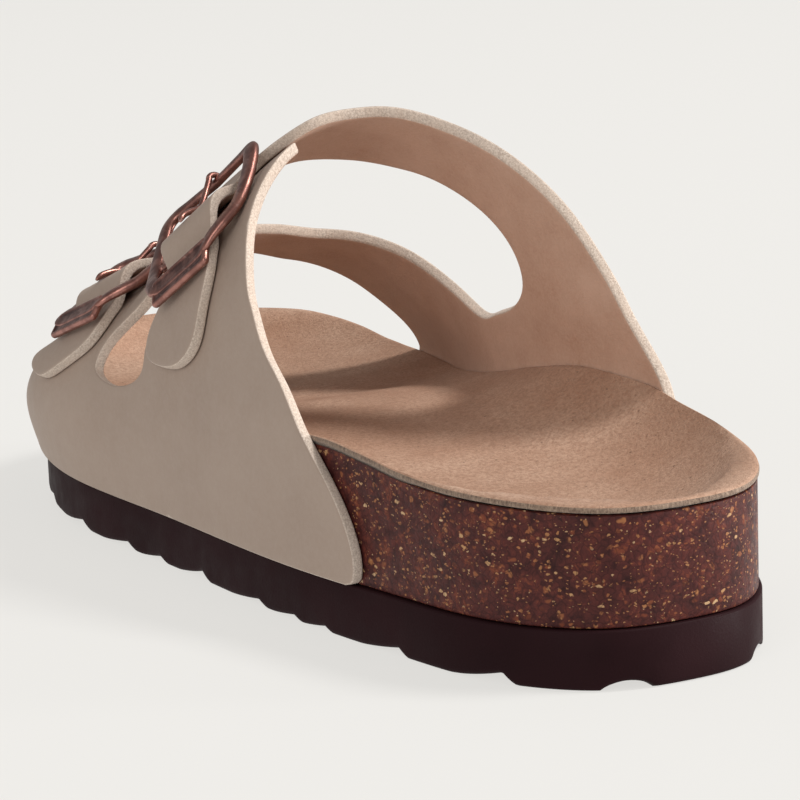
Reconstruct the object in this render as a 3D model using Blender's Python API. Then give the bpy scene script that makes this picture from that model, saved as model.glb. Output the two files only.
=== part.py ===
import math

import bmesh
import bpy
import numpy as np
from mathutils import Vector

# Main sizes of the sandal, in metres
LENGTH = 0.2550
HALF_WIDTH = 0.0500
OUTSOLE_THICK = 0.0120
TOE_SPRING = 0.0072
SPRING_START = 0.588
HEEL_REST_ALONG = 0.141
RIM_HEIGHT = 0.0400
COVER_THICK = 0.0016
CORK_INSET = 0.0007
GAP = 0.0003
CREST_HEIGHT = 0.1000
CREST_SHIFT = 0.0050
SIDE_BULGE = 0.0054
RIM_BLEND = 0.016
BOWL_POWER = 3.6
SHOULDER_POWER = 2.2
LATERAL_POWER = 2.4
LEATHER = 0.0025
PATTERN_SPAN = 0.1000
TREAD_DEPTH = 0.0025
TREAD_REACH = 0.55
STRAP_LIFT = 0.0033
HOLE_RADIUS = 0.0015

# Buckle sizes, in metres
PLATE_LENGTH = 0.0215
PLATE_HEIGHT = 0.0066
PLATE_THICK = 0.0017
PLATE_RECESS = 0.0002
BUCKLE_CLEAR = 0.0013
BAR_CLEAR = 0.0005
TOP_BAR_CLEAR = 0.0004
RAIL_SPREAD = 0.0185
RAIL_HALF_WIDTH = 0.0021
RAIL_HALF_THICK = 0.0012
TOP_BAR_RADIUS = 0.0010
CENTRE_BAR_RADIUS = 0.0009
PRONG_RADIUS = 0.0007

# Mesh counts
SOLE_STATIONS = 48
BED_COLUMNS = 10
UPPER_CELL = 0.0060

# Sole outline: share of LENGTH from the heel, then lateral and medial half widths as shares of HALF_WIDTH
OUTLINE = (
    {"along": 0.0000, "lateral": 0.000, "medial": 0.000},
    {"along": 0.0125, "lateral": 0.322, "medial": 0.322},
    {"along": 0.0784, "lateral": 0.616, "medial": 0.604},
    {"along": 0.1765, "lateral": 0.746, "medial": 0.732},
    {"along": 0.2941, "lateral": 0.842, "medial": 0.728},
    {"along": 0.4118, "lateral": 0.890, "medial": 0.670},
    {"along": 0.5294, "lateral": 0.916, "medial": 0.710},
    {"along": 0.6353, "lateral": 0.958, "medial": 0.844},
    {"along": 0.7137, "lateral": 0.986, "medial": 0.926},
    {"along": 0.7961, "lateral": 0.948, "medial": 0.952},
    {"along": 0.8784, "lateral": 0.806, "medial": 0.886},
    {"along": 0.9451, "lateral": 0.580, "medial": 0.702},
    {"along": 0.9870, "lateral": 0.250, "medial": 0.378},
    {"along": 1.0000, "lateral": -0.058, "medial": 0.058},
)

# Footbed heights above the floor as shares of RIM_HEIGHT: both rims, and the middle of the bed
FOOTBED = (
    {"along": 0.000, "lateral": 0.900, "medial": 0.900, "middle": 0.660},
    {"along": 0.078, "lateral": 0.922, "medial": 0.924, "middle": 0.620},
    {"along": 0.124, "lateral": 0.928, "medial": 0.940, "middle": 0.600},
    {"along": 0.180, "lateral": 0.952, "medial": 0.978, "middle": 0.600},
    {"along": 0.224, "lateral": 0.993, "medial": 1.008, "middle": 0.622},
    {"along": 0.278, "lateral": 1.028, "medial": 1.062, "middle": 0.660},
    {"along": 0.353, "lateral": 1.030, "medial": 1.078, "middle": 0.712},
    {"along": 0.439, "lateral": 0.980, "medial": 1.000, "middle": 0.758},
    {"along": 0.494, "lateral": 0.920, "medial": 0.920, "middle": 0.776},
    {"along": 0.576, "lateral": 0.830, "medial": 0.818, "middle": 0.762},
    {"along": 0.659, "lateral": 0.765, "medial": 0.750, "middle": 0.680},
    {"along": 0.718, "lateral": 0.745, "medial": 0.745, "middle": 0.662},
    {"along": 0.773, "lateral": 0.745, "medial": 0.745, "middle": 0.628},
    {"along": 0.816, "lateral": 0.758, "medial": 0.758, "middle": 0.622},
    {"along": 0.859, "lateral": 0.802, "medial": 0.802, "middle": 0.640},
    {"along": 0.898, "lateral": 0.840, "medial": 0.840, "middle": 0.665},
    {"along": 0.937, "lateral": 0.870, "medial": 0.870, "middle": 0.700},
    {"along": 1.000, "lateral": 0.880, "medial": 0.880, "middle": 0.780},
)

# Last over the foot: crest height as a share of CREST_HEIGHT, sideways place of the crest as a
# share of CREST_SHIFT, outward bulge of the lateral wall as a share of SIDE_BULGE
LAST = (
    {"along": 0.157, "crest": 1.120, "across": -1.00, "bulge": 0.00},
    {"along": 0.235, "crest": 1.100, "across": -1.00, "bulge": 0.00},
    {"along": 0.314, "crest": 1.074, "across": -1.00, "bulge": 0.07},
    {"along": 0.416, "crest": 1.029, "across": -1.00, "bulge": 0.19},
    {"along": 0.490, "crest": 0.954, "across": -0.70, "bulge": 0.29},
    {"along": 0.573, "crest": 0.848, "across": -0.35, "bulge": 0.44},
    {"along": 0.659, "crest": 0.692, "across": 0.00, "bulge": 0.72},
    {"along": 0.725, "crest": 0.620, "across": 0.25, "bulge": 0.93},
    {"along": 0.784, "crest": 0.566, "across": 0.40, "bulge": 1.00},
    {"along": 0.843, "crest": 0.510, "across": 0.50, "bulge": 0.96},
    {"along": 0.922, "crest": 0.450, "across": 0.60, "bulge": 0.78},
)

# Tread notches of the side wall: top of the notch, its steep heel side and its gentle toe side as
# shares of LENGTH, depth as share of TREAD_DEPTH
TREAD = (
    {"along": 0.075, "steep": 0.012, "gentle": 0.050, "depth": 0.92},
    {"along": 0.186, "steep": 0.012, "gentle": 0.050, "depth": 0.66},
    {"along": 0.283, "steep": 0.012, "gentle": 0.032, "depth": 0.42},
    {"along": 0.328, "steep": 0.012, "gentle": 0.036, "depth": 0.40},
    {"along": 0.385, "steep": 0.014, "gentle": 0.050, "depth": 0.50},
    {"along": 0.487, "steep": 0.015, "gentle": 0.046, "depth": 0.82},
    {"along": 0.566, "steep": 0.014, "gentle": 0.036, "depth": 0.50},
    {"along": 0.626, "steep": 0.016, "gentle": 0.048, "depth": 0.62},
    {"along": 0.714, "steep": 0.018, "gentle": 0.048, "depth": 0.70},
    {"along": 0.805, "steep": 0.014, "gentle": 0.040, "depth": 0.66},
    {"along": 0.880, "steep": 0.012, "gentle": 0.034, "depth": 0.60},
    {"along": 0.945, "steep": 0.010, "gentle": 0.024, "depth": 0.50},
)

# Cut outline of the lateral quarter: "around" runs 0 at the lateral foot, 1 at the crest,
# 2 at the medial foot; "along" is a share of LENGTH
LATERAL_CUT = (
    {"around": 0.000, "along": 0.240},
    {"around": 0.012, "along": 0.228},
    {"around": 0.040, "along": 0.228},
    {"around": 0.113, "along": 0.247},
    {"around": 0.203, "along": 0.286},
    {"around": 0.288, "along": 0.324},
    {"around": 0.340, "along": 0.354},
    {"around": 0.383, "along": 0.372},
    {"around": 0.428, "along": 0.388},
    {"around": 0.453, "along": 0.397},
    {"around": 0.530, "along": 0.416},
    {"around": 0.620, "along": 0.435},
    {"around": 0.704, "along": 0.447},
    {"around": 0.780, "along": 0.457},
    {"around": 0.835, "along": 0.467},
    {"around": 0.849, "along": 0.480},
    {"around": 0.852, "along": 0.510},
    {"around": 0.842, "along": 0.550},
    {"around": 0.800, "along": 0.572},
    {"around": 0.700, "along": 0.575},
    {"around": 0.600, "along": 0.569},
    {"around": 0.530, "along": 0.563},
    {"around": 0.460, "along": 0.562},
    {"around": 0.400, "along": 0.565},
    {"around": 0.362, "along": 0.568},
    {"around": 0.318, "along": 0.568},
    {"around": 0.293, "along": 0.580},
    {"around": 0.289, "along": 0.598},
    {"around": 0.306, "along": 0.622},
    {"around": 0.368, "along": 0.653},
    {"around": 0.413, "along": 0.656},
    {"around": 0.465, "along": 0.650},
    {"around": 0.503, "along": 0.630},
    {"around": 0.526, "along": 0.608},
    {"around": 0.570, "along": 0.597},
    {"around": 0.640, "along": 0.598},
    {"around": 0.750, "along": 0.602},
    {"around": 0.830, "along": 0.608},
    {"around": 0.865, "along": 0.622},
    {"around": 0.872, "along": 0.680},
    {"around": 0.865, "along": 0.740},
    {"around": 0.830, "along": 0.756},
    {"around": 0.720, "along": 0.766},
    {"around": 0.560, "along": 0.783},
    {"around": 0.400, "along": 0.806},
    {"around": 0.250, "along": 0.820},
    {"around": 0.100, "along": 0.822},
    {"around": 0.018, "along": 0.821},
    {"around": 0.000, "along": 0.810},
)

# Cut outline of the medial piece with its two straps, in the same two columns
MEDIAL_CUT = (
    {"around": 2.000, "along": 0.236},
    {"around": 1.985, "along": 0.224},
    {"around": 1.950, "along": 0.223},
    {"around": 1.887, "along": 0.231},
    {"around": 1.780, "along": 0.249},
    {"around": 1.665, "along": 0.277},
    {"around": 1.588, "along": 0.293},
    {"around": 1.512, "along": 0.311},
    {"around": 1.431, "along": 0.331},
    {"around": 1.346, "along": 0.359},
    {"around": 1.263, "along": 0.392},
    {"around": 1.181, "along": 0.424},
    {"around": 1.100, "along": 0.445},
    {"around": 1.030, "along": 0.458},
    {"around": 0.957, "along": 0.468},
    {"around": 0.893, "along": 0.472},
    {"around": 0.840, "along": 0.485},
    {"around": 0.760, "along": 0.496},
    {"around": 0.680, "along": 0.486},
    {"around": 0.620, "along": 0.477},
    {"around": 0.560, "along": 0.470},
    {"around": 0.495, "along": 0.459},
    {"around": 0.419, "along": 0.457},
    {"around": 0.364, "along": 0.458},
    {"around": 0.332, "along": 0.466},
    {"around": 0.309, "along": 0.483},
    {"around": 0.304, "along": 0.507},
    {"around": 0.321, "along": 0.535},
    {"around": 0.345, "along": 0.544},
    {"around": 0.390, "along": 0.544},
    {"around": 0.440, "along": 0.536},
    {"around": 0.500, "along": 0.532},
    {"around": 0.560, "along": 0.548},
    {"around": 0.620, "along": 0.562},
    {"around": 0.680, "along": 0.571},
    {"around": 0.760, "along": 0.576},
    {"around": 0.850, "along": 0.574},
    {"around": 0.934, "along": 0.563},
    {"around": 1.014, "along": 0.560},
    {"around": 1.077, "along": 0.553},
    {"around": 1.135, "along": 0.542},
    {"around": 1.205, "along": 0.523},
    {"around": 1.277, "along": 0.498},
    {"around": 1.350, "along": 0.471},
    {"around": 1.411, "along": 0.449},
    {"around": 1.475, "along": 0.431},
    {"around": 1.531, "along": 0.424},
    {"around": 1.574, "along": 0.427},
    {"around": 1.606, "along": 0.441},
    {"around": 1.624, "along": 0.465},
    {"around": 1.630, "along": 0.493},
    {"around": 1.633, "along": 0.520},
    {"around": 1.596, "along": 0.552},
    {"around": 1.525, "along": 0.589},
    {"around": 1.432, "along": 0.618},
    {"around": 1.336, "along": 0.638},
    {"around": 1.247, "along": 0.654},
    {"around": 1.171, "along": 0.666},
    {"around": 1.102, "along": 0.675},
    {"around": 1.011, "along": 0.678},
    {"around": 0.957, "along": 0.679},
    {"around": 0.850, "along": 0.677},
    {"around": 0.740, "along": 0.668},
    {"around": 0.640, "along": 0.661},
    {"around": 0.560, "along": 0.660},
    {"around": 0.510, "along": 0.660},
    {"around": 0.450, "along": 0.668},
    {"around": 0.405, "along": 0.690},
    {"around": 0.370, "along": 0.712},
    {"around": 0.351, "along": 0.727},
    {"around": 0.345, "along": 0.740},
    {"around": 0.356, "along": 0.756},
    {"around": 0.385, "along": 0.772},
    {"around": 0.420, "along": 0.775},
    {"around": 0.461, "along": 0.752},
    {"around": 0.510, "along": 0.729},
    {"around": 0.580, "along": 0.736},
    {"around": 0.700, "along": 0.749},
    {"around": 0.850, "along": 0.747},
    {"around": 1.000, "along": 0.748},
    {"around": 1.072, "along": 0.754},
    {"around": 1.156, "along": 0.760},
    {"around": 1.252, "along": 0.764},
    {"around": 1.370, "along": 0.764},
    {"around": 1.489, "along": 0.761},
    {"around": 1.602, "along": 0.757},
    {"around": 1.714, "along": 0.760},
    {"around": 1.800, "along": 0.768},
    {"around": 1.900, "along": 0.779},
    {"around": 1.975, "along": 0.785},
    {"around": 2.000, "along": 0.773},
)

# Buckle places: plate and top bar "around" the last and "along" the sole, tilt of the plate in
# degrees, lean of the bars over the straps, middle and half length of the strap's rise over the
# hidden bar, and where the strap comes down
BUCKLES = (
    {"name": "rear", "plate": 0.484, "bar": 0.757, "plate_along": 0.490, "bar_along": 0.555, "spread": 0.92,
     "tilt": 17.0, "lean": 0.0038, "middle": 0.600, "half_lift": 0.095, "land": 0.900, "down": 1.200},
    {"name": "front", "plate": 0.520, "bar": 0.790, "plate_along": 0.692, "bar_along": 0.719, "spread": 0.88,
     "tilt": 22.0, "lean": 0.0018, "middle": 0.640, "half_lift": 0.095, "land": 0.900, "down": 1.100},
)

# Buckle ring, half of it: sideways as share of RAIL_SPREAD, up as share of the buckle's height,
# rise in metres, section as shares of the rail's half width and half thickness
RING = (
    {"side": 0.00, "up": 0.020, "rise": 0.0000, "wide": 0.80, "thick": 0.58},
    {"side": 0.40, "up": 0.020, "rise": 0.0000, "wide": 0.80, "thick": 0.58},
    {"side": 0.60, "up": 0.055, "rise": 0.0005, "wide": 0.95, "thick": 0.70},
    {"side": 0.72, "up": 0.130, "rise": 0.0005, "wide": 1.00, "thick": 0.85},
    {"side": 0.86, "up": 0.225, "rise": 0.0001, "wide": 1.00, "thick": 0.95},
    {"side": 0.98, "up": 0.355, "rise": -0.0004, "wide": 1.00, "thick": 0.95},
    {"side": 1.04, "up": 0.540, "rise": -0.0002, "wide": 1.00, "thick": 0.95},
    {"side": 1.04, "up": 0.740, "rise": 0.0004, "wide": 1.05, "thick": 0.92},
    {"side": 1.00, "up": 0.890, "rise": 0.0010, "wide": 1.00, "thick": 0.90},
    {"side": 0.86, "up": 0.975, "rise": 0.0008, "wide": 0.78, "thick": 0.84},
    {"side": 0.60, "up": 1.000, "rise": 0.0004, "wide": 0.58, "thick": 0.80},
    {"side": 0.00, "up": 1.000, "rise": 0.0000, "wide": 0.49, "thick": 0.83},
)

# Colours and finishes
MATERIALS = {
    "outsole": ((0.035, 0.014, 0.016, 1.0), 0.0, 0.55),
    "cork": ((0.150, 0.062, 0.036, 1.0), 0.0, 0.70),
    "suede": ((0.520, 0.350, 0.245, 1.0), 0.0, 0.92),
    "leather": ((0.330, 0.265, 0.215, 1.0), 0.0, 0.60),
    "copper": ((0.250, 0.100, 0.070, 1.0), 1.0, 0.42),
}


def column(table, name):
    return np.array([row[name] for row in table], float)


def pchip(xs, ys, x):
    h = np.diff(xs)
    d = np.diff(ys) / h
    m = np.zeros(len(xs))
    m[0] = d[0]
    m[-1] = d[-1]
    for i in range(1, len(xs) - 1):
        if d[i - 1] * d[i] > 0.0:
            a = 2.0 * h[i] + h[i - 1]
            b = h[i] + 2.0 * h[i - 1]
            m[i] = (a + b) / (a / d[i - 1] + b / d[i])
    x = min(max(x, xs[0]), xs[-1])
    i = int(min(max(np.searchsorted(xs, x) - 1, 0), len(xs) - 2))
    t = (x - xs[i]) / h[i]
    a = (1.0 + 2.0 * t) * (1.0 - t) ** 2 * ys[i] + t * (1.0 - t) ** 2 * h[i] * m[i]
    return a + t * t * (3.0 - 2.0 * t) * ys[i + 1] + t * t * (t - 1.0) * h[i] * m[i + 1]


def value(table, name, share):
    return float(pchip(column(table, "along"), column(table, name), share))


def closed_spline(points, per_span):
    p = np.array(points, float)
    n = len(p)
    step = np.linalg.norm(np.roll(p, -1, 0) - p, axis=1) ** 0.5
    a = np.zeros((n, n))
    b = np.zeros((n, p.shape[1]))
    for i in range(n):
        h0 = step[i - 1]
        h1 = step[i]
        a[i, i - 1] += h0
        a[i, i] += 2.0 * (h0 + h1)
        a[i, (i + 1) % n] += h1
        b[i] = 6.0 * ((p[(i + 1) % n] - p[i]) / h1 - (p[i] - p[i - 1]) / h0)
    m = np.linalg.solve(a, b)
    out = []
    for i in range(n):
        j = (i + 1) % n
        h = step[i]
        for k in range(per_span):
            t = k / per_span
            u = 1.0 - t
            bend = (u ** 3 - u) * m[i] + (t ** 3 - t) * m[j]
            out.append(u * p[i] + t * p[j] + bend * h * h / 6.0)
    return np.array(out)


def outline_points():
    pts = []
    for row in OUTLINE:
        pts.append((row["medial"] * HALF_WIDTH, row["along"] * LENGTH))
    for row in reversed(OUTLINE[1:-1]):
        pts.append((-row["lateral"] * HALF_WIDTH, row["along"] * LENGTH))
    return closed_spline(pts, 24)


EDGE = outline_points()


def inset_edge(inset):
    along = np.roll(EDGE, -1, 0) - np.roll(EDGE, 1, 0)
    along = along / np.linalg.norm(along, axis=1)[:, None]
    inward = np.stack([-along[:, 1], along[:, 0]], 1)
    return EDGE + inward * inset


def halves(inset):
    e = inset_edge(inset)
    lo = int(np.argmin(e[:, 1]))
    hi = int(np.argmax(e[:, 1]))
    e = np.roll(e, -lo, 0)
    hi = (hi - lo) % len(e)
    first = e[:hi + 1]
    second = np.vstack([e[hi:], e[:1]])[::-1]
    return first, second


SIDES = {0.0: halves(0.0), CORK_INSET: halves(CORK_INSET)}


def side_x(y, side, inset=0.0):
    half = SIDES[inset][0 if side > 0 else 1]
    return float(np.interp(y, half[:, 1], half[:, 0]))


def spring(y):
    s = max(0.0, (y / LENGTH - SPRING_START) / (1.0 - SPRING_START))
    return TOE_SPRING * s * s


def bed_height(y, t):
    share = y / LENGTH
    lateral = value(FOOTBED, "lateral", share) * RIM_HEIGHT
    medial = value(FOOTBED, "medial", share) * RIM_HEIGHT
    middle = value(FOOTBED, "middle", share) * RIM_HEIGHT
    end = min(1.0, max(0.0, (0.20 - share) / 0.194, (share - 0.84) / 0.154))
    rim = (lateral + medial) / 2.0 + (medial - lateral) / 2.0 * t * (1.0 - end ** 6)
    reach = min(1.0, (abs(t) ** 2.4 + end ** 2.4) ** (1.0 / 2.4))
    arch = 0.11 * RIM_HEIGHT * math.exp(-((share - 0.37) / 0.11) ** 2)
    arch = arch * max(0.0, t) ** 1.2 * (1.0 - reach ** 4)
    return middle + (rim - middle) * reach ** BOWL_POWER + arch


def arc_table():
    t = np.linspace(0.0, math.pi / 2.0, 2001)
    x = 0.046 * np.cos(t) ** (2.0 / SHOULDER_POWER)
    z = 0.082 * np.sin(t) ** (2.0 / SHOULDER_POWER)
    s = np.concatenate([[0.0], np.cumsum(np.hypot(np.diff(x), np.diff(z)))])
    return s / s[-1], t


ARC_SHARE, ARC_ANGLE = arc_table()


def arch_reach(side, share, wide, c, s):
    if side > 0:
        return wide * c ** (2.0 / SHOULDER_POWER)
    bulge = value(LAST, "bulge", share) * SIDE_BULGE
    return wide * c ** (2.0 / LATERAL_POWER) + bulge * 3.494 * s * c ** 4


def last_point(around, y, off):
    share = y / LENGTH
    side = -1 if around < 1.0 else 1
    a = around if side < 0 else 2.0 - around
    angle = float(np.interp(a, ARC_SHARE, ARC_ANGLE))
    c = max(0.0, math.cos(angle))
    s = max(0.0, math.sin(angle))
    foot = OUTSOLE_THICK + spring(y) + GAP
    centre = value(LAST, "across", share) * CREST_SHIFT
    grow = GAP - CORK_INSET + LEATHER + off
    top = value(LAST, "crest", share) * CREST_HEIGHT + off
    wide = side * side_x(y, side) + grow - side * centre
    power = LATERAL_POWER if side < 0 else SHOULDER_POWER
    z = foot + (top - foot) * s ** (2.0 / power)
    rim = bed_height(y, side) + 2.0 * GAP
    rim_s = ((rim - foot) / (top - foot)) ** (power / 2.0)
    low_s = min(s, rim_s)
    low_c = math.sqrt(1.0 - low_s * low_s)
    short = max(0.0, wide - arch_reach(side, share, wide, low_c, low_s))
    fade = min(1.0, max(0.0, (z - rim) / RIM_BLEND))
    x = arch_reach(side, share, wide, c, s) + short * (1.0 - fade * fade * (3.0 - 2.0 * fade))
    return Vector((centre + side * x, y, z))


def middle_along(row):
    t = (row["middle"] - row["plate"]) / (row["bar"] - row["plate"])
    return row["plate_along"] + (row["bar_along"] - row["plate_along"]) * t


def strap_offset(around, y):
    row = BUCKLES[0] if y / LENGTH < 0.60 else BUCKLES[1]
    t = (row["down"] - around) / (row["down"] - row["land"])
    t = min(max(t, 0.0), 1.0)
    off = (LEATHER + GAP) * t * t * (3.0 - 2.0 * t)
    middle = row["middle"] - row["lean"] * (y - middle_along(row) * LENGTH) * 1000.0
    d = abs(around - middle) / row["half_lift"]
    if d < 1.0:
        off += STRAP_LIFT * math.cos(d * math.pi / 2.0) ** 2
    return off


def clear_scene():
    for ob in list(bpy.data.objects):
        bpy.data.objects.remove(ob, do_unlink=True)
    for block in list(bpy.data.meshes):
        bpy.data.meshes.remove(block)


def new_collection(name, hidden=False):
    col = bpy.data.collections.new(name)
    bpy.context.scene.collection.children.link(col)
    col.hide_render = hidden
    return col


def make_material(name):
    colour, metal, rough = MATERIALS[name]
    mat = bpy.data.materials.new(name)
    mat.use_nodes = True
    shader = mat.node_tree.nodes["Principled BSDF"]
    shader.inputs["Base Color"].default_value = colour
    shader.inputs["Metallic"].default_value = metal
    shader.inputs["Roughness"].default_value = rough
    mat.diffuse_color = colour
    return mat


def finish_mesh(bm, name, col, mat):
    bmesh.ops.remove_doubles(bm, verts=bm.verts, dist=1e-6)
    bmesh.ops.dissolve_degenerate(bm, dist=1e-7, edges=bm.edges)
    bmesh.ops.recalc_face_normals(bm, faces=bm.faces)
    for v in bm.verts:
        v.co.y -= HEEL_REST_ALONG * LENGTH
    mesh = bpy.data.meshes.new(name)
    bm.to_mesh(mesh)
    bm.free()
    ob = bpy.data.objects.new(name, mesh)
    if mat is not None:
        mesh.materials.append(mat)
    col.objects.link(ob)
    return ob


def add_grid(bm, nu, nv, place):
    made = bmesh.ops.create_grid(bm, x_segments=nu, y_segments=nv, size=0.5)
    for v in made["verts"]:
        v.co = place(v.co.x + 0.5, v.co.y + 0.5)


def stations(first, last, count, extra=()):
    ys = [first + (last - first) * (1.0 - math.cos(math.pi * i / count)) / 2.0 for i in range(count + 1)]
    for y in extra:
        if first < y < last and min(abs(y - k) for k in ys) > 0.0011:
            ys.append(y)
    return sorted(ys)


def pick(rows, share):
    return rows[int(round(share * (len(rows) - 1)))]


def sole_solid(name, col, mat, inset, rows, columns_low, low, columns_high, high):
    bm = bmesh.new()

    def across(y, t):
        a = side_x(y, -1, inset)
        b = side_x(y, 1, inset)
        return a + (b - a) * (t + 1.0) / 2.0

    def top(u, v):
        y = pick(rows, v)
        t = 2.0 * u - 1.0
        return Vector((across(y, t), y, high(y, t)))

    def bottom(u, v):
        y = pick(rows, v)
        t = 2.0 * u - 1.0
        return Vector((across(y, t), y, low(y, t)))

    def wall(t):
        def place(u, v):
            y = pick(rows, v)
            z0 = low(y, t)
            return Vector((across(y, t), y, z0 + (high(y, t) - z0) * u))
        return place

    add_grid(bm, columns_low, len(rows) - 1, bottom)
    add_grid(bm, columns_high, len(rows) - 1, top)
    add_grid(bm, 1, len(rows) - 1, wall(-1.0))
    add_grid(bm, 1, len(rows) - 1, wall(1.0))
    return finish_mesh(bm, name, col, mat)


def tread_depth(y, t):
    edge = max(0.0, (abs(t) - (1.0 - TREAD_REACH)) / TREAD_REACH)
    depth = 0.0
    for row in TREAD:
        d = y / LENGTH - row["along"]
        d = d / row["gentle"] if d > 0.0 else -d / row["steep"]
        if d < 1.0:
            depth = max(depth, row["depth"] * TREAD_DEPTH * (1.0 - d) ** 1.5)
    return depth * min(1.0, edge * 1.25)


def build_sole(col, mats):
    first, last = SIDES[0.0][0][0, 1], SIDES[0.0][0][-1, 1]
    extra = []
    for row in TREAD:
        for k in (-row["steep"], -0.4 * row["steep"], 0.0, 0.3 * row["gentle"], 0.65 * row["gentle"]):
            extra.append((row["along"] + k) * LENGTH)
    rows = stations(first, last, 40, extra)
    sole_solid("outsole", col, mats["outsole"], 0.0, rows,
               4, lambda y, t: spring(y) + tread_depth(y, t),
               1, lambda y, t: OUTSOLE_THICK + spring(y))
    first, last = SIDES[CORK_INSET][0][0, 1], SIDES[CORK_INSET][0][-1, 1]
    rows = stations(first, last, SOLE_STATIONS)
    cover = COVER_THICK + GAP
    sole_solid("cork_footbed", col, mats["cork"], CORK_INSET, rows,
               1, lambda y, t: OUTSOLE_THICK + spring(y) + GAP,
               BED_COLUMNS, lambda y, t: bed_height(y, t) - cover)
    sole_solid("insole", col, mats["suede"], CORK_INSET, rows,
               BED_COLUMNS, lambda y, t: bed_height(y, t) - COVER_THICK,
               BED_COLUMNS, bed_height)


def flat_prism(points, low, high, name, col):
    curve = bpy.data.curves.new(name, "CURVE")
    curve.dimensions = "2D"
    curve.fill_mode = "BOTH"
    curve.extrude = (high - low) / 2.0
    line = curve.splines.new("POLY")
    line.points.add(len(points) - 1)
    for k, p in enumerate(points):
        line.points[k].co = (p[0], p[1], 0.0, 1.0)
    line.use_cyclic_u = True
    ob = bpy.data.objects.new(name, curve)
    col.objects.link(ob)
    bpy.context.view_layer.update()
    mesh = bpy.data.meshes.new_from_object(ob.evaluated_get(bpy.context.evaluated_depsgraph_get()))
    bpy.data.objects.remove(ob, do_unlink=True)
    bm = bmesh.new()
    bm.from_mesh(mesh)
    bmesh.ops.remove_doubles(bm, verts=bm.verts, dist=1e-6)
    bmesh.ops.recalc_face_normals(bm, faces=bm.faces)
    for v in bm.verts:
        v.co.z += (high + low) / 2.0
    bm.to_mesh(mesh)
    bm.free()
    out = bpy.data.objects.new(name, mesh)
    col.objects.link(out)
    out.display_type = "WIRE"
    out.hide_render = True
    return out


def boolean(ob, cutter, operation):
    mod = ob.modifiers.new(operation.lower(), "BOOLEAN")
    mod.operation = operation
    mod.solver = "EXACT"
    mod.object = cutter
    bpy.context.view_layer.update()
    mesh = bpy.data.meshes.new_from_object(ob.evaluated_get(bpy.context.evaluated_depsgraph_get()))
    ob.modifiers.clear()
    ob.data = mesh


def cut_outline(table):
    raw = [(row["around"] * PATTERN_SPAN, row["along"] * LENGTH) for row in table]
    fine = closed_spline(raw, 6)
    low = 0.0
    high = 2.0 * PATTERN_SPAN
    fine[:, 0] = np.clip(fine[:, 0], low, high)
    kept = [fine[0]]
    for i in range(1, len(fine)):
        p = fine[i]
        gap = float(np.linalg.norm(p - kept[-1]))
        a = kept[-1] - (kept[-2] if len(kept) > 1 else fine[-1])
        b = p - kept[-1]
        turn = 0.0
        if np.linalg.norm(a) > 1e-9 and gap > 1e-9:
            turn = abs(math.atan2(a[0] * b[1] - a[1] * b[0], float(a @ b)))
        if gap > 0.0045 or (gap > 0.0012 and turn > 0.16):
            kept.append(p)
    if np.linalg.norm(kept[-1] - kept[0]) < 0.0008:
        kept.pop()
    return kept


def leather_piece(name, col, cutters, mat, table, offset, holes):
    points = cut_outline(table)
    xs = [p[0] for p in points]
    ys = [p[1] for p in points]
    x0, x1 = min(xs) - 0.001, max(xs) + 0.001
    y0, y1 = min(ys) - 0.001, max(ys) + 0.001
    nx = max(2, int(round((x1 - x0) / UPPER_CELL)))
    ny = max(2, int(round((y1 - y0) / UPPER_CELL)))
    bm = bmesh.new()
    add_grid(bm, nx, ny, lambda u, v: Vector((x0 + (x1 - x0) * u, y0 + (y1 - y0) * v, 0.0)))
    made = bmesh.ops.extrude_face_region(bm, geom=bm.faces[:])
    for item in made["geom"]:
        if isinstance(item, bmesh.types.BMVert):
            item.co.z += 1.0
    bmesh.ops.recalc_face_normals(bm, faces=bm.faces)
    mesh = bpy.data.meshes.new(name)
    bm.to_mesh(mesh)
    bm.free()
    slab = bpy.data.objects.new(name, mesh)
    col.objects.link(slab)
    shape = flat_prism(points, -0.5, 1.5, name + "_cut", cutters)
    boolean(slab, shape, "INTERSECT")
    for k, (hx, hy) in enumerate(holes):
        ring = []
        for j in range(10):
            w = 2.0 * math.pi * j / 10.0
            ring.append((hx * PATTERN_SPAN + HOLE_RADIUS * math.cos(w),
                         hy * LENGTH + HOLE_RADIUS * math.sin(w)))
        punch = flat_prism(ring, -0.5, 1.5, name + "_hole_%d" % (k + 1), cutters)
        boolean(slab, punch, "DIFFERENCE")
    bm = bmesh.new()
    bm.from_mesh(slab.data)
    bpy.data.objects.remove(slab, do_unlink=True)
    bmesh.ops.remove_doubles(bm, verts=bm.verts, dist=2e-5)
    bmesh.ops.dissolve_degenerate(bm, dist=1e-5, edges=bm.edges)
    bmesh.ops.triangulate(bm, faces=bm.faces[:], quad_method="SHORT_EDGE")
    for v in bm.verts:
        around = min(max(v.co.x / PATTERN_SPAN, 0.0), 2.0)
        y = v.co.y
        off = offset(around, y)
        if v.co.z < 0.5:
            off -= LEATHER
        v.co = last_point(around, y, off)
    return finish_mesh(bm, name, col, mat)


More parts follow.
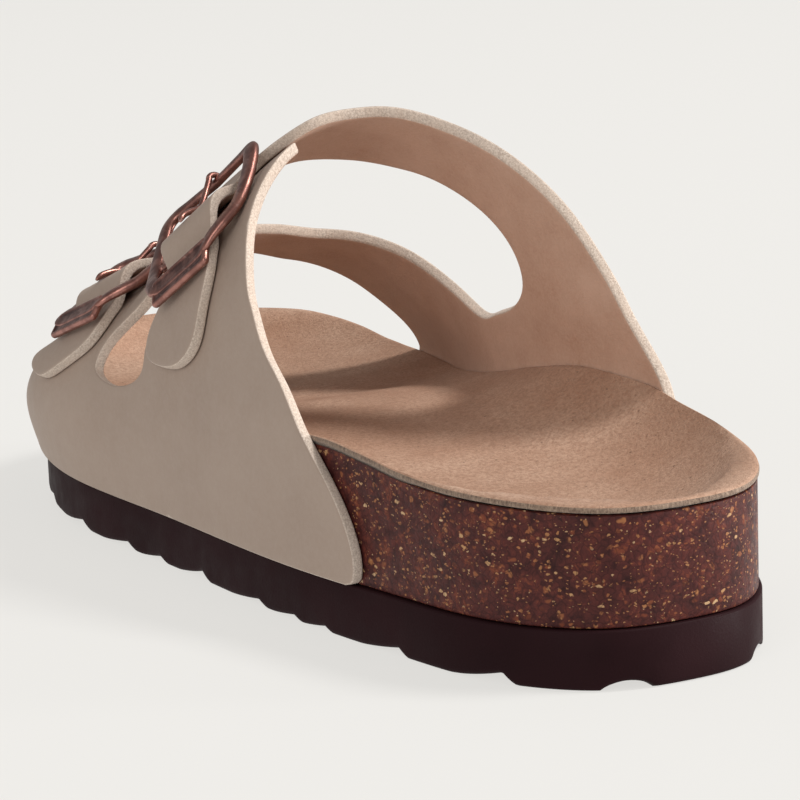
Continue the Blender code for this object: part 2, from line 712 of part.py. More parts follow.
def buckle_frame(row):
    plate_off = LEATHER + GAP + BUCKLE_CLEAR + PLATE_THICK / 2.0
    bar_off = LEATHER + GAP + TOP_BAR_CLEAR + TOP_BAR_RADIUS
    y0 = row["plate_along"] * LENGTH
    y1 = row["bar_along"] * LENGTH
    low = last_point(row["plate"], y0, plate_off)
    high = last_point(row["bar"], y1, bar_off)
    up = (high - low)
    height = up.length
    up.normalize()
    middle = row["middle"]
    ym = middle_along(row) * LENGTH
    side = last_point(middle, ym - 0.004, 0.0) - last_point(middle, ym + 0.004, 0.0)
    side -= up * side.dot(up)
    side.normalize()
    out = side.cross(up)
    if out.dot(Vector((-1.0, 0.0, 1.0))) < 0.0:
        out = -out
    bar = last_point(middle, ym, BAR_CLEAR + CENTRE_BAR_RADIUS) - low
    return low, side, up, out, height, bar.dot(up), bar.dot(out)


def centre_bar(row, height, bar_up, bar_out):
    """Half of the hidden bar's path, from the middle of the rail's section to the strap's middle."""
    ups = [r["up"] for r in RING[1:-2]]
    reach = RAIL_SPREAD * row["spread"] * np.interp(bar_up / height, ups, [r["side"] for r in RING[1:-2]])
    rise = np.interp(bar_up / height, ups, [r["rise"] for r in RING[1:-2]])
    elbow = reach - RAIL_HALF_WIDTH - CENTRE_BAR_RADIUS
    drop = rise + (bar_out - rise) * 0.95
    bend = rise + (drop - rise) * 0.55
    path = [(reach, rise), (elbow + CENTRE_BAR_RADIUS, bend), (elbow - CENTRE_BAR_RADIUS, drop), (0.0, bar_out)]
    return [np.array([across, bar_up, level]) for across, level in path]


def tube(bm, path, sizes, normal, count, closed, power=2.4):
    n = len(path)
    rings = []
    for i in range(n):
        if closed:
            t = path[(i + 1) % n] - path[i - 1]
        else:
            t = path[min(i + 1, n - 1)] - path[max(i - 1, 0)]
        t.normalize()
        side = t.cross(normal)
        side.normalize()
        lift = side.cross(t)
        wide, thick = sizes[i]
        ring = []
        for k in range(count):
            w = 2.0 * math.pi * (k + 0.5) / count
            c = math.copysign(abs(math.cos(w)) ** (2.0 / power), math.cos(w))
            s = math.copysign(abs(math.sin(w)) ** (2.0 / power), math.sin(w))
            ring.append(path[i] + side * (c * wide) + lift * (s * thick))
        rings.append(ring)
    spans = n if closed else n - 1

    def place(u, v):
        i = int(round(v * spans)) % n
        k = int(round(u * count)) % count
        return rings[i][k]

    start = len(bm.verts)
    add_grid(bm, count, spans, place)
    bm.verts.ensure_lookup_table()
    bmesh.ops.remove_doubles(bm, verts=bm.verts[start:], dist=1e-7)
    if not closed:
        open_edges = [e for e in bm.edges if e.is_boundary]
        bmesh.ops.holes_fill(bm, edges=open_edges, sides=count)


def fine_path(rows, per_span):
    out = []
    n = len(rows)
    for i in range(n - 1):
        p0 = rows[max(i - 1, 0)]
        p1 = rows[i]
        p2 = rows[i + 1]
        p3 = rows[min(i + 2, n - 1)]
        for k in range(per_span):
            t = k / per_span
            out.append(0.5 * (2 * p1 + (p2 - p0) * t + (2 * p0 - 5 * p1 + 4 * p2 - p3) * t * t
                              + (3 * p1 - p0 - 3 * p2 + p3) * t ** 3))
    out.append(rows[-1])
    return out


def buckle(row, col, cutters, mat):
    low, side, up, out, height, bar_up, bar_out = buckle_frame(row)

    def at(b, a, n):
        return low + side * b + up * a + out * n

    half = []
    for r in RING:
        half.append(np.array([r["side"] * RAIL_SPREAD * row["spread"], r["up"] * height, r["rise"],
                              r["wide"] * RAIL_HALF_WIDTH, r["thick"] * RAIL_HALF_THICK]))
    right = fine_path(half, 2)
    left = [np.array([-p[0], p[1], p[2], p[3], p[4]]) for p in reversed(right[1:-1])]
    loop = right + left
    bm = bmesh.new()
    tube(bm, [at(p[0], p[1], p[2]) for p in loop], [(p[3], p[4]) for p in loop], out, 8, True, 2.6)
    ring = finish_mesh(bm, "buckle_" + row["name"], col, mat)

    rows = centre_bar(row, height, bar_up, bar_out)
    rows += [np.array([-p[0], p[1], p[2]]) for p in reversed(rows[:-1])]
    bm = bmesh.new()
    r = CENTRE_BAR_RADIUS
    tube(bm, [at(*p) for p in rows], [(r, r)] * len(rows), up, 8, False, 2.0)
    rod = finish_mesh(bm, "centre_bar_" + row["name"], cutters, None)
    rod.display_type = "WIRE"
    rod.hide_render = True
    boolean(ring, rod, "UNION")

    bm = bmesh.new()
    bmesh.ops.create_cube(bm, size=1.0)
    lean = math.radians(row["tilt"])
    plate_up = up * math.cos(lean) + out * math.sin(lean)
    face_out = out * math.cos(lean) - up * math.sin(lean)
    for v in bm.verts:
        v.co = (low + side * v.co.x * PLATE_LENGTH + plate_up * v.co.y * PLATE_HEIGHT
                + face_out * v.co.z * PLATE_THICK)
    bmesh.ops.recalc_face_normals(bm, faces=bm.faces)
    bmesh.ops.bevel(bm, geom=bm.edges[:], offset=0.0004, segments=1, affect="EDGES", profile=0.5)
    face = max(bm.faces, key=lambda f: f.normal.dot(face_out) + f.calc_area())
    made = bmesh.ops.inset_region(bm, faces=[face], thickness=0.0006, depth=0.0)
    bmesh.ops.translate(bm, verts=list(face.verts), vec=-face_out * PLATE_RECESS)
    plate = finish_mesh(bm, "plate_" + row["name"], cutters, None)
    plate.display_type = "WIRE"
    plate.hide_render = True
    boolean(ring, plate, "UNION")
    ring.data.materials.clear()
    ring.data.materials.append(mat)
    bm = bmesh.new()
    bm.from_mesh(ring.data)
    bmesh.ops.remove_doubles(bm, verts=bm.verts, dist=1e-5)
    bmesh.ops.dissolve_degenerate(bm, dist=1e-5, edges=bm.edges)
    bmesh.ops.recalc_face_normals(bm, faces=bm.faces)
    bm.to_mesh(ring.data)
    bm.free()

    loop_radius = TOP_BAR_RADIUS * 1.05 + GAP + PRONG_RADIUS
    pts = []
    for k in range(8):
        w = math.radians(-10.0 + 18.0 * k)
        pts.append(at(0.0, height + loop_radius * math.cos(w), loop_radius * math.sin(w)))
    y0 = row["plate_along"] * LENGTH
    y1 = row["bar_along"] * LENGTH
    for around in (0.72, 0.64, 0.56, 0.48, 0.41):
        a = row["plate"] + (row["bar"] - row["plate"]) * around
        y = y0 + (y1 - y0) * around
        off = strap_offset(a, y) + GAP + PRONG_RADIUS
        pts.append(last_point(a, y, off))
    bm = bmesh.new()
    tube(bm, pts, [(PRONG_RADIUS, PRONG_RADIUS)] * len(pts), side, 6, False, 2.0)
    finish_mesh(bm, "prong_" + row["name"], col, mat)


def build():
    clear_scene()
    col = new_collection("cork_footbed_sandal")
    cutters = new_collection("cutters", True)
    mats = {name: make_material(name) for name in MATERIALS}
    build_sole(col, mats)
    leather_piece("upper_lateral", col, cutters, mats["leather"], LATERAL_CUT, lambda a, y: 0.0, [])
    leather_piece("upper_medial", col, cutters, mats["leather"], MEDIAL_CUT, strap_offset, [])
    for row in BUCKLES:
        buckle(row, col, cutters, mats["copper"])


build()
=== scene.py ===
import math

import bmesh
import bpy
import numpy as np
from mathutils import Matrix, Vector
from mathutils.geometry import delaunay_2d_cdt


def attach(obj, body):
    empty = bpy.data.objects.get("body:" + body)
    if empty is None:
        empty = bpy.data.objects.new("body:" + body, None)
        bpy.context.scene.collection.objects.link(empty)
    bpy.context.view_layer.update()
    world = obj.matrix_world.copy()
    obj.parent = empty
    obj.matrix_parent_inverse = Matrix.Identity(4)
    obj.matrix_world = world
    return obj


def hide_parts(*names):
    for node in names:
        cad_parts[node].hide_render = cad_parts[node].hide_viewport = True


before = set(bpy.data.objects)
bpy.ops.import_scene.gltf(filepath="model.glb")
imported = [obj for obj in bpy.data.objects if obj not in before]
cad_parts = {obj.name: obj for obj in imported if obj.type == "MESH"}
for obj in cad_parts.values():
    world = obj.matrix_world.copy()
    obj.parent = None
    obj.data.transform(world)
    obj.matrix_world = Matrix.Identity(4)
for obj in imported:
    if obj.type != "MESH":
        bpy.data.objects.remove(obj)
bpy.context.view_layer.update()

# Sizes, in metres
LENGTH = 0.2550
HALF_WIDTH = 0.0500
OUTSOLE_THICK = 0.0120
TOE_SPRING = 0.0072
SPRING_START = 0.588
HEEL_REST_ALONG = 0.141
RIM_HEIGHT = 0.0400
COVER_THICK = 0.0016
CORK_INSET = 0.0007
GAP = 0.0003
CREST_HEIGHT = 0.1000
CREST_SHIFT = 0.0050
SIDE_BULGE = 0.0054
RIM_BLEND = 0.016
BOWL_POWER = 3.6
SHOULDER_POWER = 2.2
LATERAL_POWER = 2.4
LEATHER = 0.0025
PATTERN_SPAN = 0.1000
TREAD_DEPTH = 0.0025
TREAD_REACH = 0.55
STRAP_LIFT = 0.0033

# Buckle sizes, in metres
PLATE_LENGTH = 0.0215
PLATE_HEIGHT = 0.0066
PLATE_THICK = 0.0017
BUCKLE_CLEAR = 0.0013
BAR_CLEAR = 0.0005
TOP_BAR_CLEAR = 0.0004
RAIL_SPREAD = 0.0185
RAIL_HALF_WIDTH = 0.0021
RAIL_HALF_THICK = 0.0012
TOP_BAR_RADIUS = 0.0010
CENTRE_BAR_RADIUS = 0.0009
PRONG_RADIUS = 0.0007

# Pin: hook angles about the top bar in degrees, places along the strap as shares of the way from
# the plate to the top bar, and the size of its tip with its growth per step
HOOK_START = -10.0
HOOK_STEP = 18.0
PIN_REST = (0.72, 0.64, 0.56, 0.48, 0.41)
TIP_SIZE = 0.45
TIP_GROWTH = 0.16

# Section shapes: 2 is round and more is squarer
RAIL_POWER = 2.7
ROUND_POWER = 2.0

# Tread notches of the heel's back: sideways place and half width as shares of HALF_WIDTH, reach as
# share of LENGTH, depth as share of TREAD_DEPTH
HEEL_TREAD = (
    {"across": -0.240, "half": 0.100, "reach": 0.090, "depth": 0.75},
    {"across": 0.430, "half": 0.075, "reach": 0.090, "depth": 0.90},
)

# Colours
LEATHER_DARK = (0.340, 0.257, 0.207)
LEATHER_LIGHT = (0.382, 0.295, 0.240)
LEATHER_SPECK = (0.420, 0.335, 0.280)
FELT_DARK = (0.420, 0.335, 0.275)
FELT_LIGHT = (0.700, 0.600, 0.515)
FELT_WARM = (0.680, 0.540, 0.440)
LINING_DARK = (0.470, 0.295, 0.212)
LINING_LIGHT = (0.580, 0.398, 0.305)
LINING_NAP = (0.660, 0.480, 0.380)
SUEDE_DARK = (0.400, 0.228, 0.150)
SUEDE_LIGHT = (0.585, 0.395, 0.290)
SUEDE_NAP = (0.300, 0.165, 0.108)
SUEDE_PEPPER = (0.130, 0.072, 0.048)
EDGE_DARK = (0.130, 0.085, 0.062)
EDGE_LIGHT = (0.340, 0.245, 0.180)
CORK_DEEP = (0.0240, 0.0062, 0.0066)
CORK_DARK = (0.060, 0.0155, 0.0140)
CORK_BROWN = (0.092, 0.0220, 0.0180)
CORK_RUST = (0.200, 0.052, 0.0240)
CORK_AMBER = (0.380, 0.155, 0.060)
CORK_TAN = (0.430, 0.225, 0.100)
CORK_CREAM = (0.580, 0.385, 0.215)
FOAM_DARK = (0.0150, 0.0050, 0.0062)
FOAM_LIGHT = (0.0230, 0.0078, 0.0095)
FOAM_DUST = (0.120, 0.080, 0.070)
COPPER_DARK = (0.088, 0.041, 0.038)
COPPER_WARM = (0.400, 0.190, 0.155)
COPPER_BRIGHT = (0.700, 0.470, 0.420)
FLOOR_TONE = (0.160, 0.160, 0.157)
FLOOR_GLOW = (0.863, 0.847, 0.815)
FLOOR_POWER = 0.78
WORLD_TONE = (1.000, 0.985, 0.960)
WORLD_POWER = 0.36

# Lights: name, place, aim, size, power, tone
LIGHTS = (
    ("key", (2.30, -1.30, 3.90), (0.0, 0.09, 0.03), 1.30, 170.0, (1.0, 0.975, 0.945)),
    ("fill", (-3.60, -2.50, 1.90), (0.0, 0.09, 0.03), 3.20, 72.0, (1.0, 0.99, 0.97)),
    ("side", (3.70, -2.10, 0.45), (0.0, 0.0, 0.02), 0.80, 140.0, (1.0, 0.985, 0.965)),
)

# Camera: place in metres from the heel's back end, its three directions, lens and sensor in millimetres
CAMERA_PLACE = (-0.318539, -0.494749, 0.178531)
CAMERA_RIGHT = (0.87433643, -0.4842959, -0.03151661)
CAMERA_UP = (0.13244783, 0.17563508, 0.97550494)
CAMERA_AHEAD = (0.46689762, 0.85709381, -0.21770809)
CAMERA_LENS = 144.0
CAMERA_SENSOR = 36.0
CAMERA_SHIFT = (-0.0688, 0.0578)

# Mesh spacing and the rounding of cut edges, in metres
SOLE_EDGE_STEP = 0.0009
SOLE_FILL_STEP = 0.0013
CORK_EDGE_STEP = 0.0012
CORK_FILL_STEP = 0.0040
BED_EDGE_STEP = 0.0010
BED_STEP = 0.0021
PANEL_EDGE_STEP = 0.0010
LINING_STEP = 0.0017
EDGE_ROUND = 0.00045
OUTLINE_SPAN = 24
CUT_SPAN = 12
RAIL_SPAN = 7
BAR_SPAN = 5
RAIL_SIDES = 24
BAR_SIDES = 16
MERGE_DISTANCE = 2e-6
MILLIMETRES = 1000.0

# Shape of the footbed: where its ends begin and how long they are as shares of LENGTH, the power
# that joins sides and ends, and the arch bump
HEEL_END = (0.20, 0.194)
TOE_END = (0.84, 0.154)
CORNER_POWER = 2.4
ARCH_HEIGHT = 0.11
ARCH_ALONG = 0.37
ARCH_LENGTH = 0.11
ARCH_POWER = 1.2
NOTCH_POWER = 1.5
NOTCH_EDGE = 1.25
HEEL_NOTCH_POWER = 0.75
HEEL_NOTCH_FADE = 0.5

# Shape of the last's wall, in metres: half width and height of the curve that spaces "around", and
# the factor that lets the bulge reach 1
ARC_HALF_WIDTH = 0.046
ARC_HEIGHT = 0.082
ARC_COUNT = 2001
BULGE_PEAK = 3.494
STRAP_SPLIT = 0.60

# Sole outline: share of LENGTH from the heel, then lateral and medial half widths as shares of HALF_WIDTH
OUTLINE = (
    {"along": 0.0000, "lateral": 0.000, "medial": 0.000},
    {"along": 0.0125, "lateral": 0.322, "medial": 0.322},
    {"along": 0.0784, "lateral": 0.616, "medial": 0.604},
    {"along": 0.1765, "lateral": 0.746, "medial": 0.732},
    {"along": 0.2941, "lateral": 0.842, "medial": 0.728},
    {"along": 0.4118, "lateral": 0.890, "medial": 0.670},
    {"along": 0.5294, "lateral": 0.916, "medial": 0.710},
    {"along": 0.6353, "lateral": 0.958, "medial": 0.844},
    {"along": 0.7137, "lateral": 0.986, "medial": 0.926},
    {"along": 0.7961, "lateral": 0.948, "medial": 0.952},
    {"along": 0.8784, "lateral": 0.806, "medial": 0.886},
    {"along": 0.9451, "lateral": 0.580, "medial": 0.702},
    {"along": 0.9870, "lateral": 0.250, "medial": 0.378},
    {"along": 1.0000, "lateral": -0.058, "medial": 0.058},
)

# Footbed heights above the floor as shares of RIM_HEIGHT: both rims, and the middle of the bed
FOOTBED = (
    {"along": 0.000, "lateral": 0.900, "medial": 0.900, "middle": 0.660},
    {"along": 0.078, "lateral": 0.922, "medial": 0.924, "middle": 0.620},
    {"along": 0.124, "lateral": 0.928, "medial": 0.940, "middle": 0.600},
    {"along": 0.180, "lateral": 0.952, "medial": 0.978, "middle": 0.600},
    {"along": 0.224, "lateral": 0.993, "medial": 1.008, "middle": 0.622},
    {"along": 0.278, "lateral": 1.028, "medial": 1.062, "middle": 0.660},
    {"along": 0.353, "lateral": 1.030, "medial": 1.078, "middle": 0.712},
    {"along": 0.439, "lateral": 0.980, "medial": 1.000, "middle": 0.758},
    {"along": 0.494, "lateral": 0.920, "medial": 0.920, "middle": 0.776},
    {"along": 0.576, "lateral": 0.830, "medial": 0.818, "middle": 0.762},
    {"along": 0.659, "lateral": 0.765, "medial": 0.750, "middle": 0.680},
    {"along": 0.718, "lateral": 0.745, "medial": 0.745, "middle": 0.662},
    {"along": 0.773, "lateral": 0.745, "medial": 0.745, "middle": 0.628},
    {"along": 0.816, "lateral": 0.758, "medial": 0.758, "middle": 0.622},
    {"along": 0.859, "lateral": 0.802, "medial": 0.802, "middle": 0.640},
    {"along": 0.898, "lateral": 0.840, "medial": 0.840, "middle": 0.665},
    {"along": 0.937, "lateral": 0.870, "medial": 0.870, "middle": 0.700},
    {"along": 1.000, "lateral": 0.880, "medial": 0.880, "middle": 0.780},
)

# Last over the foot: crest height as a share of CREST_HEIGHT, sideways place of the crest as a
# share of CREST_SHIFT, outward bulge of the lateral wall as a share of SIDE_BULGE
LAST = (
    {"along": 0.157, "crest": 1.120, "across": -1.00, "bulge": 0.00},
    {"along": 0.235, "crest": 1.100, "across": -1.00, "bulge": 0.00},
    {"along": 0.314, "crest": 1.074, "across": -1.00, "bulge": 0.07},
    {"along": 0.416, "crest": 1.029, "across": -1.00, "bulge": 0.19},
    {"along": 0.490, "crest": 0.954, "across": -0.70, "bulge": 0.29},
    {"along": 0.573, "crest": 0.848, "across": -0.35, "bulge": 0.44},
    {"along": 0.659, "crest": 0.692, "across": 0.00, "bulge": 0.72},
    {"along": 0.725, "crest": 0.620, "across": 0.25, "bulge": 0.93},
    {"along": 0.784, "crest": 0.566, "across": 0.40, "bulge": 1.00},
    {"along": 0.843, "crest": 0.510, "across": 0.50, "bulge": 0.96},
    {"along": 0.922, "crest": 0.450, "across": 0.60, "bulge": 0.78},
)

# Tread notches of the side wall: top of the notch, its steep heel side and its gentle toe side as
# shares of LENGTH, depth as share of TREAD_DEPTH
TREAD = (
    {"along": 0.075, "steep": 0.012, "gentle": 0.050, "depth": 0.92},
    {"along": 0.186, "steep": 0.012, "gentle": 0.050, "depth": 0.66},
    {"along": 0.283, "steep": 0.012, "gentle": 0.032, "depth": 0.42},
    {"along": 0.328, "steep": 0.012, "gentle": 0.036, "depth": 0.40},
    {"along": 0.385, "steep": 0.014, "gentle": 0.050, "depth": 0.50},
    {"along": 0.487, "steep": 0.015, "gentle": 0.046, "depth": 0.82},
    {"along": 0.566, "steep": 0.014, "gentle": 0.036, "depth": 0.50},
    {"along": 0.626, "steep": 0.016, "gentle": 0.048, "depth": 0.62},
    {"along": 0.714, "steep": 0.018, "gentle": 0.048, "depth": 0.70},
    {"along": 0.805, "steep": 0.014, "gentle": 0.040, "depth": 0.66},
    {"along": 0.880, "steep": 0.012, "gentle": 0.034, "depth": 0.60},
    {"along": 0.945, "steep": 0.010, "gentle": 0.024, "depth": 0.50},
)

# Cut outline of the lateral quarter: "around" runs 0 at the lateral foot, 1 at the crest,
# 2 at the medial foot; "along" is a share of LENGTH
LATERAL_CUT = (
    {"around": 0.000, "along": 0.240},
    {"around": 0.012, "along": 0.228},
    {"around": 0.040, "along": 0.228},
    {"around": 0.113, "along": 0.247},
    {"around": 0.203, "along": 0.286},
    {"around": 0.288, "along": 0.324},
    {"around": 0.340, "along": 0.354},
    {"around": 0.383, "along": 0.372},
    {"around": 0.428, "along": 0.388},
    {"around": 0.453, "along": 0.397},
    {"around": 0.530, "along": 0.416},
    {"around": 0.620, "along": 0.435},
    {"around": 0.704, "along": 0.447},
    {"around": 0.780, "along": 0.457},
    {"around": 0.835, "along": 0.467},
    {"around": 0.849, "along": 0.480},
    {"around": 0.852, "along": 0.510},
    {"around": 0.842, "along": 0.550},
    {"around": 0.800, "along": 0.572},
    {"around": 0.700, "along": 0.575},
    {"around": 0.600, "along": 0.569},
    {"around": 0.530, "along": 0.563},
    {"around": 0.460, "along": 0.562},
    {"around": 0.400, "along": 0.565},
    {"around": 0.362, "along": 0.568},
    {"around": 0.318, "along": 0.568},
    {"around": 0.293, "along": 0.580},
    {"around": 0.289, "along": 0.598},
    {"around": 0.306, "along": 0.622},
    {"around": 0.368, "along": 0.653},
    {"around": 0.413, "along": 0.656},
    {"around": 0.465, "along": 0.650},
    {"around": 0.503, "along": 0.630},
    {"around": 0.526, "along": 0.608},
    {"around": 0.570, "along": 0.597},
    {"around": 0.640, "along": 0.598},
    {"around": 0.750, "along": 0.602},
    {"around": 0.830, "along": 0.608},
    {"around": 0.865, "along": 0.622},
    {"around": 0.872, "along": 0.680},
    {"around": 0.865, "along": 0.740},
    {"around": 0.830, "along": 0.756},
    {"around": 0.720, "along": 0.766},
    {"around": 0.560, "along": 0.783},
    {"around": 0.400, "along": 0.806},
    {"around": 0.250, "along": 0.820},
    {"around": 0.100, "along": 0.822},
    {"around": 0.018, "along": 0.821},
    {"around": 0.000, "along": 0.810},
)

# Cut outline of the medial piece with its two straps, in the same two columns
MEDIAL_CUT = (
    {"around": 2.000, "along": 0.236},
    {"around": 1.985, "along": 0.224},
    {"around": 1.950, "along": 0.223},
    {"around": 1.887, "along": 0.231},
    {"around": 1.780, "along": 0.249},
    {"around": 1.665, "along": 0.277},
    {"around": 1.588, "along": 0.293},
    {"around": 1.512, "along": 0.311},
    {"around": 1.431, "along": 0.331},
    {"around": 1.346, "along": 0.359},
    {"around": 1.263, "along": 0.392},
    {"around": 1.181, "along": 0.424},
    {"around": 1.100, "along": 0.445},
    {"around": 1.030, "along": 0.458},
    {"around": 0.957, "along": 0.468},
    {"around": 0.893, "along": 0.472},
    {"around": 0.840, "along": 0.485},
    {"around": 0.760, "along": 0.496},
    {"around": 0.680, "along": 0.486},
    {"around": 0.620, "along": 0.477},
    {"around": 0.560, "along": 0.470},
    {"around": 0.495, "along": 0.459},
    {"around": 0.419, "along": 0.457},
    {"around": 0.364, "along": 0.458},
    {"around": 0.332, "along": 0.466},
    {"around": 0.309, "along": 0.483},
    {"around": 0.304, "along": 0.507},
    {"around": 0.321, "along": 0.535},
    {"around": 0.345, "along": 0.544},
    {"around": 0.390, "along": 0.544},
    {"around": 0.440, "along": 0.536},
    {"around": 0.500, "along": 0.532},
    {"around": 0.560, "along": 0.548},
    {"around": 0.620, "along": 0.562},
    {"around": 0.680, "along": 0.571},
    {"around": 0.760, "along": 0.576},
    {"around": 0.850, "along": 0.574},
    {"around": 0.934, "along": 0.563},
    {"around": 1.014, "along": 0.560},
    {"around": 1.077, "along": 0.553},
    {"around": 1.135, "along": 0.542},
    {"around": 1.205, "along": 0.523},
    {"around": 1.277, "along": 0.498},
    {"around": 1.350, "along": 0.471},
    {"around": 1.411, "along": 0.449},
    {"around": 1.475, "along": 0.431},
    {"around": 1.531, "along": 0.424},
    {"around": 1.574, "along": 0.427},
    {"around": 1.606, "along": 0.441},
    {"around": 1.624, "along": 0.465},
    {"around": 1.630, "along": 0.493},
    {"around": 1.633, "along": 0.520},
    {"around": 1.596, "along": 0.552},
    {"around": 1.525, "along": 0.589},
    {"around": 1.432, "along": 0.618},
    {"around": 1.336, "along": 0.638},
    {"around": 1.247, "along": 0.654},
    {"around": 1.171, "along": 0.666},
    {"around": 1.102, "along": 0.675},
    {"around": 1.011, "along": 0.678},
    {"around": 0.957, "along": 0.679},
    {"around": 0.850, "along": 0.677},
    {"around": 0.740, "along": 0.668},
    {"around": 0.640, "along": 0.661},
    {"around": 0.560, "along": 0.660},
    {"around": 0.510, "along": 0.660},
    {"around": 0.450, "along": 0.668},
    {"around": 0.405, "along": 0.690},
    {"around": 0.370, "along": 0.712},
    {"around": 0.351, "along": 0.727},
    {"around": 0.345, "along": 0.740},
    {"around": 0.356, "along": 0.756},
    {"around": 0.385, "along": 0.772},
    {"around": 0.420, "along": 0.775},
    {"around": 0.461, "along": 0.752},
    {"around": 0.510, "along": 0.729},
    {"around": 0.580, "along": 0.736},
    {"around": 0.700, "along": 0.749},
    {"around": 0.850, "along": 0.747},
    {"around": 1.000, "along": 0.748},
    {"around": 1.072, "along": 0.754},
    {"around": 1.156, "along": 0.760},
    {"around": 1.252, "along": 0.764},
    {"around": 1.370, "along": 0.764},
    {"around": 1.489, "along": 0.761},
    {"around": 1.602, "along": 0.757},
    {"around": 1.714, "along": 0.760},
    {"around": 1.800, "along": 0.768},
    {"around": 1.900, "along": 0.779},
    {"around": 1.975, "along": 0.785},
    {"around": 2.000, "along": 0.773},
)

# Buckle places: plate and top bar "around" the last and "along" the sole, tilt of the plate in
# degrees, lean of the bars over the straps, middle and half length of the strap's rise over the
# hidden bar, and where the strap comes down
BUCKLES = (
    {"name": "rear", "plate": 0.484, "bar": 0.757, "plate_along": 0.490, "bar_along": 0.555, "spread": 0.92,
     "tilt": 17.0, "lean": 0.0038, "middle": 0.600, "half_lift": 0.095, "land": 0.900, "down": 1.200},
    {"name": "front", "plate": 0.520, "bar": 0.790, "plate_along": 0.692, "bar_along": 0.719, "spread": 0.88,
     "tilt": 22.0, "lean": 0.0018, "middle": 0.640, "half_lift": 0.095, "land": 0.900, "down": 1.100},
)

# Buckle ring, half of it: sideways as share of RAIL_SPREAD, up as share of the buckle's height,
# rise in metres, section as shares of the rail's half width and half thickness
RING = (
    {"side": 0.00, "up": 0.020, "rise": 0.0000, "wide": 0.80, "thick": 0.58},
    {"side": 0.40, "up": 0.020, "rise": 0.0000, "wide": 0.80, "thick": 0.58},
    {"side": 0.60, "up": 0.055, "rise": 0.0005, "wide": 0.95, "thick": 0.70},
    {"side": 0.72, "up": 0.130, "rise": 0.0005, "wide": 1.00, "thick": 0.85},
    {"side": 0.86, "up": 0.225, "rise": 0.0001, "wide": 1.00, "thick": 0.95},
    {"side": 0.98, "up": 0.355, "rise": -0.0004, "wide": 1.00, "thick": 0.95},
    {"side": 1.04, "up": 0.540, "rise": -0.0002, "wide": 1.00, "thick": 0.95},
    {"side": 1.04, "up": 0.740, "rise": 0.0004, "wide": 1.05, "thick": 0.92},
    {"side": 1.00, "up": 0.890, "rise": 0.0010, "wide": 1.00, "thick": 0.90},
    {"side": 0.86, "up": 0.975, "rise": 0.0008, "wide": 0.78, "thick": 0.84},
    {"side": 0.60, "up": 1.000, "rise": 0.0004, "wide": 0.58, "thick": 0.80},
    {"side": 0.00, "up": 1.000, "rise": 0.0000, "wide": 0.49, "thick": 0.83},
)


def pchip(xs, ys, x):
    h = np.diff(xs)
    d = np.diff(ys) / h
    m = np.zeros(len(xs))
    m[0] = d[0]
    m[-1] = d[-1]
    for i in range(1, len(xs) - 1):
        if d[i - 1] * d[i] > 0.0:
            a = 2.0 * h[i] + h[i - 1]
            b = h[i] + 2.0 * h[i - 1]
            m[i] = (a + b) / (a / d[i - 1] + b / d[i])
    x = np.clip(x, xs[0], xs[-1])
    i = np.clip(np.searchsorted(xs, x) - 1, 0, len(xs) - 2)
    t = (x - xs[i]) / h[i]
    a = (1.0 + 2.0 * t) * (1.0 - t) ** 2 * ys[i] + t * (1.0 - t) ** 2 * h[i] * m[i]
    return a + t * t * (3.0 - 2.0 * t) * ys[i + 1] + t * t * (t - 1.0) * h[i] * m[i + 1]


def value(table, name, share):
    xs = np.array([row["along"] for row in table], float)
    ys = np.array([row[name] for row in table], float)
    return pchip(xs, ys, np.asarray(share, float))


def smooth(t):
    t = np.clip(t, 0.0, 1.0)
    return t * t * (3.0 - 2.0 * t)


def closed_spline(points, per_span):
    p = np.array(points, float)
    n = len(p)
    step = np.linalg.norm(np.roll(p, -1, 0) - p, axis=1) ** 0.5
    a = np.zeros((n, n))
    b = np.zeros((n, p.shape[1]))
    for i in range(n):
        h0 = step[i - 1]
        h1 = step[i]
        a[i, i - 1] += h0
        a[i, i] += 2.0 * (h0 + h1)
        a[i, (i + 1) % n] += h1
        b[i] = 6.0 * ((p[(i + 1) % n] - p[i]) / h1 - (p[i] - p[i - 1]) / h0)
    m = np.linalg.solve(a, b)
    out = []
    for i in range(n):
        j = (i + 1) % n
        h = step[i]
        for k in range(per_span):
            t = k / per_span
            u = 1.0 - t
            bend = (u ** 3 - u) * m[i] + (t ** 3 - t) * m[j]
            out.append(u * p[i] + t * p[j] + bend * h * h / 6.0)
    return np.array(out)


def even(points, step):
    p = np.vstack([points, points[:1]])
    s = np.concatenate([[0.0], np.cumsum(np.linalg.norm(np.diff(p, axis=0), axis=1))])
    n = int(round(s[-1] / step))
    at = np.arange(n) * s[-1] / n
    return np.stack([np.interp(at, s, p[:, k]) for k in range(p.shape[1])], 1)


def inset(loop, width):
    along = np.roll(loop, -1, 0) - np.roll(loop, 1, 0)
    along = along / np.maximum(np.linalg.norm(along, axis=1), 1e-9)[:, None]
    area = 0.5 * np.sum(loop[:, 0] * np.roll(loop[:, 1], -1) - np.roll(loop[:, 0], -1) * loop[:, 1])
    turn = 1.0 if area > 0.0 else -1.0
    return loop + np.stack([-along[:, 1], along[:, 0]], 1) * width * turn


def inside(points, loop):
    x = points[:, 0]
    y = points[:, 1]
    hit = np.zeros(len(points), bool)
    j = len(loop) - 1
    for i in range(len(loop)):
        xi, yi = loop[i]
        xj, yj = loop[j]
        if yi != yj:
            cross = (yi > y) != (yj > y)
            hit ^= cross & (x < (xj - xi) * (y - yi) / (yj - yi) + xi)
        j = i
    return hit


